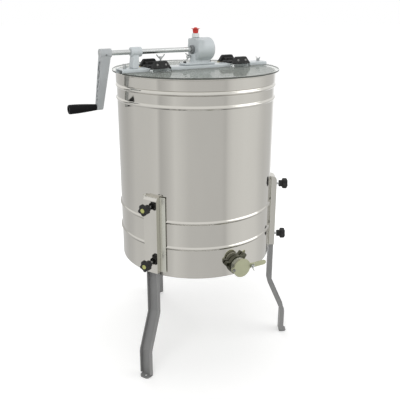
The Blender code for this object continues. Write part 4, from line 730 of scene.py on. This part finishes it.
class EXTRACTOR_OT_basket(bpy.types.Operator):
    """Spindle, spiders and four wire screens in their frames"""
    bl_idname = "extractor.basket"
    bl_label = "Basket"

    def execute(self, context):
        low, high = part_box("basket_screen_1")
        middle, half = (low.x + high.x) / 2, high.y
        size = sizes()
        values = {"Width": 2 * half - 0.006, "Height": high.z - low.z - 0.004,
                  "Pitch": size.mesh_pitch, "Wire Radius": size.mesh_wire,
                  "Material": finish("wire_steel")}
        screen = grown(tree_named("wire_screen", wire_screen_tree), points_mesh([(0, 0, 0)]),
                       values)
        wires, frames = [], []
        rails = [low.z + 0.003, (2 * low.z + high.z) / 3, (low.z + 2 * high.z) / 3, high.z - 0.003]
        for index in range(4):
            spin = Matrix.Rotation(math.tau * index / 4, 4, "Z")
            wires.append(moved(screen.copy(), spin, (middle, 0, (low.z + high.z) / 2)))
            for side in (-1, 1):
                edge = side * (half - 0.003)
                frames.append(moved(block((middle - 0.002, edge - 0.003, low.z),
                                          (middle + 0.002, edge + 0.003, high.z)), spin))
            for height in rails:
                frames.append(moved(block((middle - 0.0019, 0.006 - half, height - 0.0029),
                                          (middle + 0.0019, half - 0.006, height + 0.0029)), spin))
        piece("basket_wires", joined(*wires), "wire_steel", "basket", "satin_steel")
        piece("basket_frames", rounded(joined(*frames), 0.0008), "satin_steel", "basket",
              "satin_steel", *(f"basket_screen_{index + 1}" for index in range(4)))
        for node in ("top_spider", "bottom_spider"):
            dressed(node, "satin_steel", "basket", "satin_steel", 0.0008)
        foot, tip = (corner.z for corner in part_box("basket_spindle"))
        shaft = [(0, foot), (0.0060, foot), (0.0070, foot + 0.001), (0.0070, tip - 0.0076),
                 (0.0062, tip - 0.0068), (0.0040, tip - 0.0068), (0.0040, tip - 0.0005),
                 (0.0035, tip), (0, tip)]
        piece("spindle_rod", turned(shaft), "zinc_plate", "basket", "satin_steel", "basket_spindle")
        repaint("spindle_pinion", "gear_steel")
        return {"FINISHED"}


class EXTRACTOR_OT_beam(bpy.types.Operator):
    """Beam across the rim, its brackets and the bearing post"""
    bl_idname = "extractor.beam"
    bl_label = "Beam"

    def execute(self, context):
        dressed("beam", "pale_enamel", "drum", "pale_grey", 0.0006)
        for side in ("left", "right"):
            dressed(f"rim_bracket_{side}", "zinc_plate", "drum", "zinc_steel", 0.0005)
        self.cast_post()
        return {"FINISHED"}

    def cast_post(self):
        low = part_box("bearing_post")[0]
        height = sum(corner.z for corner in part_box("crank_shaft")) / 2
        foot = frustum((low.x + 0.0003, low.x + 0.0193, -0.017, 0.017),
                       (low.x + 0.0045, low.x + 0.0250, -0.010, 0.010), low.z, height)
        ring = [(0.0078, 0), (0.0120, 0), (0.0138, 0.0012), (0.0145, 0.0040), (0.0145, 0.0310),
                (0.0138, 0.0338), (0.0120, 0.0350), (0.0078, 0.0350)]
        collar = moved(turned(ring, closed=True), (low.x, 0, height), TO_X)
        shaft = moved(rod(0.0078, 0, 0.06), (low.x - 0.01, 0, height), TO_X)
        body = carved(rounded(foot, 0.0022, 3), [shaft])
        piece("cast_post", joined(body, collar), "cast_enamel", "drum", "pale_grey", "bearing_post")


def wing_form(stem=0.0, bore=0.0, stretch=1.0):
    """Hub and two ears standing on z = 0, the ears along X; a screw has a stem below."""
    hub = [(0.0049, 0), (0.0055, 0.0006), (0.0055, 0.0060), (0.0044, 0.0074)]
    if bore:
        shape = turned([(bore, 0), *hub, (bore, 0.0074)], 32, closed=True)
    else:
        low = [(0, -stem), (0.0024, -stem), (0.0030, 0.0008 - stem), (0.0030, 0)]
        shape = turned([*low, *hub, (0, 0.0074)], 32)
    ears = []
    inside = max(bore + 0.0006, 0.0036)
    for side in (1, -1):
        ear = [(inside, 0.0012), (0.0062, 0.0026), (0.0085, 0.0058), (0.0104, 0.0094),
               (0.0119, 0.0124), (0.0117, 0.0138), (0.0104, 0.0140), (0.0090, 0.0130),
               (0.0070, 0.0100), (0.0050, 0.0074), (inside, 0.0064)]
        outline = [(side * (inside + (x - inside) * stretch), z) for x, z in ear]
        plate = prism(outline, -0.0012, 0.0012)
        ears.append(moved(rounded(plate, 0.0009, 3), TO_FRONT))
    return joined(shape, *ears)


class EXTRACTOR_OT_wings(bpy.types.Operator):
    """Wing nuts and wing screws"""
    bl_idname = "extractor.wings"
    bl_label = "Wing nuts and screws"

    def execute(self, context):
        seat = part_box("beam_wing_nut_left")[0].z
        for side, x in (("left", -BEAM_NUT_REACH), ("right", BEAM_NUT_REACH)):
            node = f"beam_wing_nut_{side}"
            turn = Matrix.Rotation(math.pi / 2, 4, "Z")
            piece(node + "_form", moved(wing_form(bore=0.0035), (x, 0, seat), turn), "zinc_plate",
                  node, "zinc_steel", node)
        piece("beam_wing_screw_form",
              moved(wing_form(stem=0.0286, stretch=1.4), BEAM_SCREW_PLACE), "zinc_plate",
              "beam_wing_screw", "zinc_steel", "beam_wing_screw")
        turn = Matrix.Rotation(-math.pi / 2, 4, "Y")
        wing = moved(wing_form(stem=0.0095), (-0.024, 0, BOX_SCREW_HEIGHT), turn)
        piece("gearbox_wing_screw_form", wing, "zinc_plate", "gearbox_wing_screw", "zinc_steel",
              "gearbox_wing_screw")
        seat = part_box("gate_wing_nut")[1].y
        turn = TO_FRONT @ Matrix.Rotation(math.pi / 2, 4, "Z")
        piece("gate_wing_nut_form", moved(wing_form(bore=0.0035), (CLAMP, seat, GATE_HEIGHT), turn),
              "zinc_plate", "gate_wing_nut", "zinc_steel", "gate_wing_nut")
        return {"FINISHED"}


class EXTRACTOR_OT_lids(bpy.types.Operator):
    """Two clear half lids on black hinges"""
    bl_idname = "extractor.lids"
    bl_label = "Lids"

    def execute(self, context):
        for side, turn in (("back", 0), ("front", math.pi)):
            spin = Matrix.Rotation(turn, 4, "Z")
            self.cut_sheet(side, spin)
            for index, x in enumerate(HINGE_PLACES):
                place = spin @ Matrix.Translation((x, HINGE_REACH, HINGE_HEIGHT))
                self.add_hinge(f"{side}_{index + 1}", side, place)
        return {"FINISHED"}

    def cut_sheet(self, side, spin):
        """The sheet with its edges in painted shade, and below each hinge a clear spacer, the rear
        ones with sides in a painted glow.
        """
        body = f"lid_{side}"
        start = math.degrees(math.asin(0.0265 / LID_RADIUS))
        sheet = rounded(prism(arc(LID_RADIUS, start, 180 - start, 96), LID_LOW, LID_HIGH), 0.0004)
        item = piece(body + "_sheet", moved(sheet, spin), "clear_acrylic", body, "clear_acrylic",
                     body)
        self.paint_edge_shade_and_glow(item, "acrylic_edge")
        spacers = []
        for x in HINGE_PLACES:
            spacers.append(rounded(block((x - 0.031, 0.0275, LID_HIGH + 0.0001),
                                         (x + 0.031, 0.0520, 0.6245)), 0.0004))
        item = piece(body + "_spacers", moved(joined(*spacers), spin), "spacer_acrylic", body,
                     "clear_acrylic")
        if side == "back":
            # The rear spacers' sides get a painted glow
            self.paint_edge_shade_and_glow(item, "spacer_side")

    def paint_edge_shade_and_glow(self, item, look):
        # Upright faces get the given finish: painted shade on the lid sheets, painted glow on the
        # rear spacers
        item.data.materials.append(finish(look))
        for face in item.data.polygons:
            if abs(face.normal.z) < 0.5:
                face.material_index = 1

    def add_hinge(self, name, side, place):
        plate = frustum((-0.032, 0.032, 0.0065, 0.0240), (-0.0185, 0.0185, 0.0065, 0.0190),
                        -0.0082, 0.0135)
        parts = [rounded(plate, 0.0016, 3)]
        profile = [*arc(0.006, 90, 270, 14), (0.0075, -0.006), (0.0075, 0.006)]
        for low, high in ((0.0093, 0.0183), (-0.0183, -0.0093)):
            arm = rounded(prism([(z, y) for y, z in profile], low, high), 0.0006)
            bore = rod(0.0027, low - 0.01, high + 0.01, 24)
            parts.append(moved(carved(arm, [bore]), TO_X))
        piece(f"hinge_block_{name}", moved(joined(*parts), place), "black_plastic", f"lid_{side}",
              "black_plastic", f"hinge_leaf_{name}")
        slope = math.atan2(0.005, 0.0217)
        heads = fasteners([(-0.014, 0.0215, 0.0030), (0.014, 0.0215, 0.0030)], sizes().screw_radius,
                          0.0005, (slope - math.pi / 2, 0, 0), finish("screw_steel"))
        piece(f"hinge_screws_{name}", moved(heads, place), "screw_steel", f"lid_{side}",
              "zinc_steel")
        leaf = rounded(frustum((-0.032, 0.032, -0.0235, -0.0065),
                               (-0.0295, 0.0295, -0.0210, -0.0065), -0.0077, -0.0017), 0.0012, 3)
        ring = [*arc(0.006, -90, 90, 14), (-0.0075, 0.0052), (-0.0075, -0.0074), (0, -0.0074)]
        knuckle = rounded(prism([(-z, y) for y, z in ring[1:]], -0.009, 0.009), 0.0006)
        pin = turned([(0, -0.0181), (0.0021, -0.0181), (0.0025, -0.0177), (0.0025, 0.0177),
                      (0.0021, 0.0181), (0, 0.0181)], 24)
        middle = moved(joined(knuckle, pin), TO_X)
        piece(f"hinge_seat_{name}", moved(joined(leaf, middle), place), "black_plastic", "drum",
              "black_plastic", f"hinge_base_{name}")


class EXTRACTOR_OT_gearbox(bpy.types.Operator):
    """Cast housing with its bolts, bush, oil neck and plug"""
    bl_idname = "extractor.gearbox"
    bl_label = "Gearbox"

    def execute(self, context):
        self.cast_housing()
        low, top = 0.6322, 0.6368
        for name, x in zip(("gearbox_bolt_1", "gearbox_bolt_2"), BOLT_PLACES):
            stem = turned([(0, -0.0102), (0.0027, -0.0102), (0.003, -0.0099), (0.003, 0), (0, 0)],
                          24)
            head = prism(arc(0.0049, 0, 300, 5), 0, top - low)
            dome = turned([(0, 0), (0.0046, 0), (0.0046, 0.0024), (0.0032, top - low),
                           (0, top - low)], 24)
            head = carved(rounded(head, 0.0004), [dome], "UNION")
            piece(name + "_form", moved(joined(head, stem), (x, 0, low)), "black_plastic", "drum",
                  "black_plastic", name)
        bush = [(0.0078, 0), (0.0118, 0), (0.0126, 0.0008), (0.0126, 0.0080), (0.0120, 0.0087),
                (0.0105, 0.0087), (0.0105, 0.0110), (0.0078, 0.0110)]
        piece("bush_ring", moved(turned(bush, closed=True), (-0.018, 0, SHAFT_HEIGHT), TO_X),
              "bush_grey", "drum", "dark_grey", "shaft_bush")
        seat = 0.7089
        neck = [(0.0038, 0.0120), (0.0107, 0.0120), (0.0115, 0.0112), (0.0115, 0.0006),
                (0.0109, 0), (0.006, 0), (0.006, -0.005), (0.0038, -0.005)]
        piece("neck_ring", moved(turned(neck, closed=True), (0, 0, seat)), "white_plastic", "drum",
              "white_plastic", "oil_neck")
        flange, cap = 0.0132, 0.0144
        plug = [(0, -0.008), (0.0031, -0.008), (0.0035, -0.0076), (0.0035, 0), (0.0076, 0),
                (0.0081, 0.0006), (0.0098, flange - 0.001), (0.0108, flange), (0.0141, flange),
                (0.0145, flange + 0.0004), (0.0145, cap - 0.0004), (0.0141, cap), (0.0062, cap),
                *[(0.0060 * math.cos(a), cap + 0.0002 + 0.0033 * math.sin(a))
                  for a in (math.pi / 2 * step / 10 for step in range(10))], (0, cap + 0.0035)]
        piece("plug_form", moved(turned(plug), (0, 0, seat + 0.0123)), "red_plastic", "oil_plug",
              "red_plastic", "oil_plug")
        return {"FINISHED"}

    def cast_housing(self):
        """Fused from simple forms, softened like a casting, then bored true."""
        axis, seat, radius, back = SHAFT_HEIGHT, BOX_SEAT, 0.036, 0.055
        barrel = [(0, -0.009), (radius, -0.009), (radius, back - 0.010)]
        barrel += [(radius - 0.010 + r, back - 0.010 + h) for r, h in arc(0.010, 0, 90, 8)]
        barrel += [(0, back)]
        barrel = moved(turned(barrel, 96), (0, 0, axis), TO_X)
        square = rounded(block((-0.0087, -0.0357, axis - 0.0108), (0.012, 0.0357, 0.705)), 0.004, 4)
        base = rounded(block((-0.049, -0.020, seat), (0.061, 0.020, seat + 0.0067)), 0.0015, 3)
        saddle = block((0, -0.0153, seat + 0.003), (0.045, 0.0153, axis - 0.018))
        tube = rod(0.018, seat + 0.003, 0.6588, 64)
        whole = carved(barrel, [square, saddle, tube, base], "UNION")

        def soften(item):
            grid = item.modifiers.new("grid", "REMESH")
            grid.mode, grid.voxel_size = "VOXEL", sizes().cast_voxel
            smooth = item.modifiers.new("smooth", "CORRECTIVE_SMOOTH")
            smooth.factor, smooth.iterations = 0.5, 5
            smooth.use_only_smooth = True

        whole = evaluated(whole, soften)
        room = [(0, 0.0495), (0.0078, 0.0495), (0.0078, 0.044), (0.0305, 0.044), (0.0305, -0.0065),
                (0.0108, -0.0065), (0.0108, -0.02), (0, -0.02)]
        room = moved(turned(room, 64), (0, 0, axis), TO_X)
        well = turned([(0, 0.6531), (0.0125, 0.6531), (0.0125, 0.6401), (0.0073, 0.6401),
                       (0.0073, seat - 0.006), (0, seat - 0.006)])
        neck = rod(0.0063, 0.690, 0.72)
        screw = moved(rod(0.0035, -0.030, -0.0140, 24), (0, 0, BOX_SCREW_HEIGHT), TO_X)
        holes = [moved(rod(0.0035, seat - 0.006, seat + 0.015, 24), (x, 0, 0))
                 for x in BOLT_PLACES]
        whole = carved(whole, [room, well, neck, screw, *holes])
        piece("gearbox_casting", whole, "cast_enamel", "drum", "pale_grey", "gearbox_housing")


class EXTRACTOR_OT_crank(bpy.types.Operator):
    """Shaft, webbed arm and grip"""
    bl_idname = "extractor.crank"
    bl_label = "Crank"

    def execute(self, context):
        shaft = [(0, -0.318), (0.0066, -0.318), (0.0075, -0.3171), (0.0075, 0.0483),
                 (0.0066, 0.0492), (0, 0.0492)]
        piece("shaft_rod", moved(turned(shaft), (0, 0, SHAFT_HEIGHT), TO_X), "zinc_plate", "crank",
              "satin_steel", "crank_shaft")
        repaint("crown_gear", "gear_steel")
        dressed("crank_arm", "arm_enamel", "crank", "pale_grey", 0.0006)
        dressed("crank_set_screw", "bush_grey", "crank", "zinc_steel", 0.0004)
        low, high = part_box("grip")
        centre = (low.y + high.y) / 2, (low.z + high.z) / 2
        root, tip = high.x, low.x
        span = root - tip
        outline = [(0.0048, 0), (0.0090, 0), (0.0095, 0.0006)]
        for step in range(1, 20):
            share = step / 20
            swell = 0.0050 * math.sin(share * math.pi / 2)
            outline.append((0.0095 + swell, (span - 0.004) * share))
        outline += [(0.0145 - 0.003 + r, span - 0.004 + h) for r, h in
                    [(x * 0.75, z) for x, z in arc(0.004, 0, 80, 6)]]
        outline += [(0.0102, span), (0.0079, span - 0.0006), (0.0078, span - 0.0070),
                    (0.0048, span - 0.0070)]
        to_tip = Matrix.Rotation(-math.pi / 2, 4, "Y")
        piece("grip_form", moved(turned(outline, closed=True), (root, *centre), to_tip),
              "grip_plastic", "grip", "black_plastic", "grip")
        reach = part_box("grip_bolt")[1].x - root
        bolt = [(0, -reach), (0.0040, -reach), (0.0045, 0.0005 - reach), (0.0045, span - 0.0067),
                (0.0070, span - 0.0067), (0.0075, span - 0.0062), (0.0075, span - 0.0035),
                (0.0070, span - 0.0030), (0.0030, span - 0.0028), (0.0028, span - 0.0050),
                (0, span - 0.0050)]
        piece("grip_bolt_form", moved(turned(bolt), (root, *centre), to_tip), "zinc_plate",
              "crank", "zinc_steel", "grip_bolt")
        return {"FINISHED"}


class EXTRACTOR_OT_legs(bpy.types.Operator):
    """Leg holders, folded legs and star knobs"""
    bl_idname = "extractor.legs"
    bl_label = "Legs"

    def execute(self, context):
        for name, degrees in STATIONS:
            station = Matrix.Rotation(math.radians(degrees), 4, "Z")
            dressed(f"leg_holder_{name}", "holder_steel", "drum", "mirror_steel", 0.0006)
            self.press_bridges(name, station)
            self.fold_leg(name, station)
            for level, height in LEVELS:
                place = station @ Matrix.Translation((KNOB_REACH, 0, height))
                self.add_knob(f"star_knob_{name}_{level}", place)
        return {"FINISHED"}

    def press_bridges(self, name, station):
        """Outer skins of the holder's flanges, which lie unbroken on the drum's beads."""
        low, high = (corner.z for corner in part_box(f"leg_holder_{name}"))
        seat = sizes().drum_radius + sizes().bead_rise + 0.0006
        strips = []
        for side, width in ((-1, 0.0330), (1, 0.0420)):
            near, far = (math.degrees(math.asin(side * reach / seat)) for reach in (0.0236, width))
            strip = [*arc(seat, near, far, 6), *arc(seat + 0.0010, far, near, 6)]
            strips.append(prism(strip, low + 0.001, high - 0.001))
        piece(f"holder_bridges_{name}", moved(joined(*strips), station), "flange_steel", "drum",
              "mirror_steel")

    def fold_leg(self, name, station):
        half, depth, sheet = 0.01925, 0.0152, 0.0025
        section = [(-half, 0), (half, 0), (half, depth), (half - sheet, depth),
                   (half - sheet, sheet), (sheet - half, sheet), (sheet - half, depth),
                   (-half, depth)]
        path = self.leg_line()
        loops = []
        for index, spot in enumerate(path):
            into = spot - path[index - 1] if index else path[1] - spot
            out = path[index + 1] - spot if index < len(path) - 1 else into
            into, out = into.normalized(), out.normalized()
            across = (into + out).normalized()
            outward = Vector((-across.y, across.x)) / across.dot(into)
            loops.append([(spot.x + outward.x * rise, side, spot.y + outward.y * rise)
                          for side, rise in section])
        leg = loft(loops)
        foot = GROUND + 0.003
        plate = prism([(0.3060, -0.0165), (0.3253, -0.0165), (0.3313, -0.0105), (0.3313, 0.0105),
                       (0.3253, 0.0165), (0.3060, 0.0165)], GROUND, foot)
        hole = moved(rod(0.004, GROUND - 0.01, 0, 32), (0.3173, 0, 0))
        wedge = prism([(0.3086, -foot), (0.3270, -foot), (0.3270, -foot - 0.0117)], -0.03, 0.03)
        crest = prism([(0.2576, -0.2589), (0.2760, -0.2426), (0.2760, -0.27), (0.2576, -0.27)],
                      -0.03, 0.03)
        for tool in (wedge, crest):
            moved(tool, TO_FRONT @ Matrix.Rotation(math.pi, 4, "X"))
        leg = carved(leg, [plate], "UNION")
        leg = rounded(carved(leg, [hole, wedge, crest]), 0.0006)
        piece(f"leg_{name}_channel", moved(leg, station), "leg_paint", f"leg_{name}", "leg_grey",
              f"leg_{name}")

    def leg_line(self):
        """Places of the web's back along the leg, with evenly rounded bends."""
        upper, lower, bend, steps = 0.2548, 0.3058, 0.030, 10
        corners = [Vector(spot) for spot in ((upper, 0.2592), (upper, -0.130), (lower, -0.246),
                                             (lower, -0.3345))]
        path = [corners[0]]
        for before, corner, after in zip(corners, corners[1:], corners[2:]):
            back, ahead = (before - corner).normalized(), (after - corner).normalized()
            half = back.angle(ahead) / 2
            centre = corner + (back + ahead).normalized() * (bend / math.sin(half))
            start = corner + back * (bend / math.tan(half)) - centre
            end = corner + ahead * (bend / math.tan(half)) - centre
            first, last = math.atan2(start.y, start.x), math.atan2(end.y, end.x)
            sweep = (last - first + math.pi) % math.tau - math.pi
            for step in range(steps + 1):
                angle = first + sweep * step / steps
                path.append(centre + Vector((bend * math.cos(angle), bend * math.sin(angle))))
        path.append(corners[-1])
        return path

    def add_knob(self, name, place):
        """Lobed black head and hub on a zinc stud, with a coloured cap."""
        size = sizes()
        mean, swing, points = size.knob_radius, size.knob_lobe, 80
        along = place @ TO_X
        rings = [(0.0104, 0.0100, 0), (0.0110, 0.0100, 0), (0.0110, 0.0104, 0), (0.0110, 0.0185, 0),
                 (0.0122, 0.0212, 0.3), (0.0142, 0.0220, 0.8)]
        for step in range(9):
            angle = math.pi / 2 * step / 8
            rings.append((mean - 0.0020 + 0.0020 * math.sin(angle),
                          0.0240 - 0.0020 * math.cos(angle), 1.0))
        for step in range(9):
            angle = math.pi / 2 * step / 8
            rings.append((mean - 0.0034 + 0.0034 * math.cos(angle),
                          0.0346 + 0.0034 * math.sin(angle), 1.0 - 0.35 * step / 8))
        rings += [(0.0092, 0.0380, 0.2), (0.0078, 0.0379, 0), (0.0074, 0.0374, 0),
                  (0.0074, 0.0364, 0)]
        loops = []
        for radius, height, share in rings:
            loop = []
            for point in range(points):
                angle = math.tau * point / points
                reach = radius + swing * share * math.cos(5 * angle)
                loop.append((reach * math.cos(angle), reach * math.sin(angle), height))
            loops.append(loop)
        piece(name + "_head", moved(loft(loops), along), "black_plastic", name, "black_plastic",
              name)
        stud = turned([(0, -0.0140), (0.0035, -0.0140), (0.0040, -0.0135), (0.0040, 0.0099),
                       (0, 0.0099)], 24)
        piece(name + "_stud", moved(stud, along), "zinc_plate", name, "zinc_steel")
        radius = size.cap_radius
        disc = turned([(0, 0.0365), (radius, 0.0365), (radius, 0.0380), (radius - 0.0005, 0.0384),
                       (0, 0.0386)], 32)
        piece(name + "_cap", moved(disc, along), "cap_plastic", name, "black_plastic")


def plate_with_ears(low_reach, high_reach, radius, half=0.0075):
    """A disc with a round-ended bar across it, as one outline of (x, z) points."""
    meet = math.degrees(math.asin(half / radius))
    return [*arc(half, -90, 90, 14, (high_reach - half, 0)), *arc(radius, meet, 180 - meet, 40),
            *arc(half, 90, 270, 14, (half - low_reach, 0)),
            *arc(radius, 180 + meet, 360 - meet, 40)]


class EXTRACTOR_OT_gate(bpy.types.Operator):
    """Threaded honey gate with its nut, swinging flap and clamp"""
    bl_idname = "extractor.gate"
    bl_label = "Honey gate"

    def execute(self, context):
        size = sizes()
        place = Matrix.Translation((0, 0, GATE_HEIGHT)) @ TO_FRONT
        inner, outer = 0.0222, 0.0253
        tube = turned([(inner, 0.2455), (0.0246, 0.2455), (outer, 0.2462), (outer, 0.2847),
                       (inner, 0.2847)], 64, closed=True)
        face = rounded(prism(plate_with_ears(0.0375, 0.0435, 0.0285), 0.2815, 0.2850), 0.0006)
        bore = rod(inner, 0.24, 0.29, 64)
        holes = [moved(rod(radius, 0.27, 0.29, 24), (x, 0, 0))
                 for x, radius in ((PIVOT, 0.0028), (CLAMP, 0.0033))]
        body = carved(carved(tube, [face], "UNION"), [bore, *holes])
        piece("gate_tube", moved(body, place), "gate_steel", "drum", "satin_steel", "gate_body")
        root, tip = 0.2642, 0.2740
        span = tip - root
        values = {"Radius": outer, "Turns": span / size.thread_pitch, "Length": span,
                  "Rise": size.thread_rise, "Material": finish("gate_steel")}
        thread = grown(tree_named("thread", thread_tree), points_mesh([(0, 0, 0)]), values)
        piece("gate_thread", moved(thread, place, (0, 0, root)), "gate_steel", "drum",
              "satin_steel")
        self.mould_nut(place)
        self.cut_flap(place)
        return {"FINISHED"}

    def mould_nut(self, place):
        flank = ((0.0310, 15.5), (0.0345, 12.4), (0.0400, 9.6), (0.0425, 7.6), (0.0434, 4.5))
        outline = []
        for lug in range(3):
            middle = 45 + 120 * lug
            outline += arc(0.030, middle - 102, middle - 18, 22)
            for radius, turn in (*((reach, -turn) for reach, turn in flank), (0.0435, 0),
                                 *reversed(flank)):
                outline += arc(radius, middle + turn, middle, 1)[:1]
        ring = rounded(prism(outline, 0.2506, 0.2636), 0.0012, 3)
        bore = rod(GATE_HOLE, 0.24, 0.27, 64)
        piece("gate_nut_ring", moved(carved(ring, [bore]), place), "nut_steel", "drum",
              "black_plastic", "gate_nut")

    def cut_flap(self, place):
        flap = rounded(prism(plate_with_ears(0.0375, 0.090, 0.030), 0.2853, 0.2893), 0.0007)
        pin = moved(rod(0.0028, 0.28, 0.30, 24), (PIVOT, 0, 0))
        notch = prism([*arc(0.004, 0, 180, 12, (CLAMP, 0)), (CLAMP - 0.004, -0.0135),
                       (CLAMP + 0.004, -0.0135)], 0.28, 0.30)
        piece("flap_plate", moved(carved(flap, [pin, notch]), place), "flap_steel", "gate_flap",
              "satin_steel", "gate_flap")
        screw = [(0, 0.2805), (0.0022, 0.2805), (0.0025, 0.2808), (0.0025, 0.2896),
                 (0.0047, 0.2896), (0.0050, 0.2899), (0.0050, 0.2912), (0.0042, 0.2921),
                 (0, 0.2921)]
        slot = block((-0.0006, -0.01, 0.2912), (0.0006, 0.01, 0.30))
        screw = carved(turned(screw, 32), [slot])
        piece("pivot_screw_form", moved(screw, place, (PIVOT, 0, 0)), "screw_steel", "drum",
              "zinc_steel", "gate_pivot_screw")
        stud = [(0, 0.2782), (0.0055, 0.2782), (0.006, 0.2787), (0.006, 0.2812), (0.003, 0.2812),
                (0.003, 0.2991), (0.0025, 0.2996), (0, 0.2996)]
        piece("clamp_stud_form", moved(turned(stud, 24), place, (CLAMP, 0, 0)), "zinc_plate",
              "drum", "zinc_steel", "gate_clamp_stud")


class EXTRACTOR_PT_panel(bpy.types.Panel):
    """Lists the pieces of the extractor"""
    bl_idname = "EXTRACTOR_PT_panel"
    bl_label = "Honey extractor"
    bl_space_type = "VIEW_3D"
    bl_region_type = "UI"
    bl_category = "Extractor"

    def draw(self, context):
        layout = self.layout
        for group in (context.scene.extractor_sizes, context.scene.extractor_colours):
            box = layout.box()
            for name in group.__annotations__:
                box.prop(group, name)
        for operator in PIECES:
            layout.operator(operator.bl_idname)


PIECES = (
    EXTRACTOR_OT_stage,
    EXTRACTOR_OT_drum,
    EXTRACTOR_OT_basket,
    EXTRACTOR_OT_beam,
    EXTRACTOR_OT_wings,
    EXTRACTOR_OT_lids,
    EXTRACTOR_OT_gearbox,
    EXTRACTOR_OT_crank,
    EXTRACTOR_OT_legs,
    EXTRACTOR_OT_gate,
)
CLASSES = (ExtractorSizes, ExtractorColours, *PIECES, EXTRACTOR_PT_panel)


def register():
    for item in CLASSES:
        bpy.utils.register_class(item)
    bpy.types.Scene.extractor_sizes = PointerProperty(type=ExtractorSizes)
    bpy.types.Scene.extractor_colours = PointerProperty(type=ExtractorColours)


def unregister():
    del bpy.types.Scene.extractor_colours
    del bpy.types.Scene.extractor_sizes
    for item in reversed(CLASSES):
        bpy.utils.unregister_class(item)


def main():
    register()
    for operator in PIECES:
        group, action = operator.bl_idname.split(".")
        getattr(getattr(bpy.ops, group), action)()


if __name__ == "__main__":
    main()
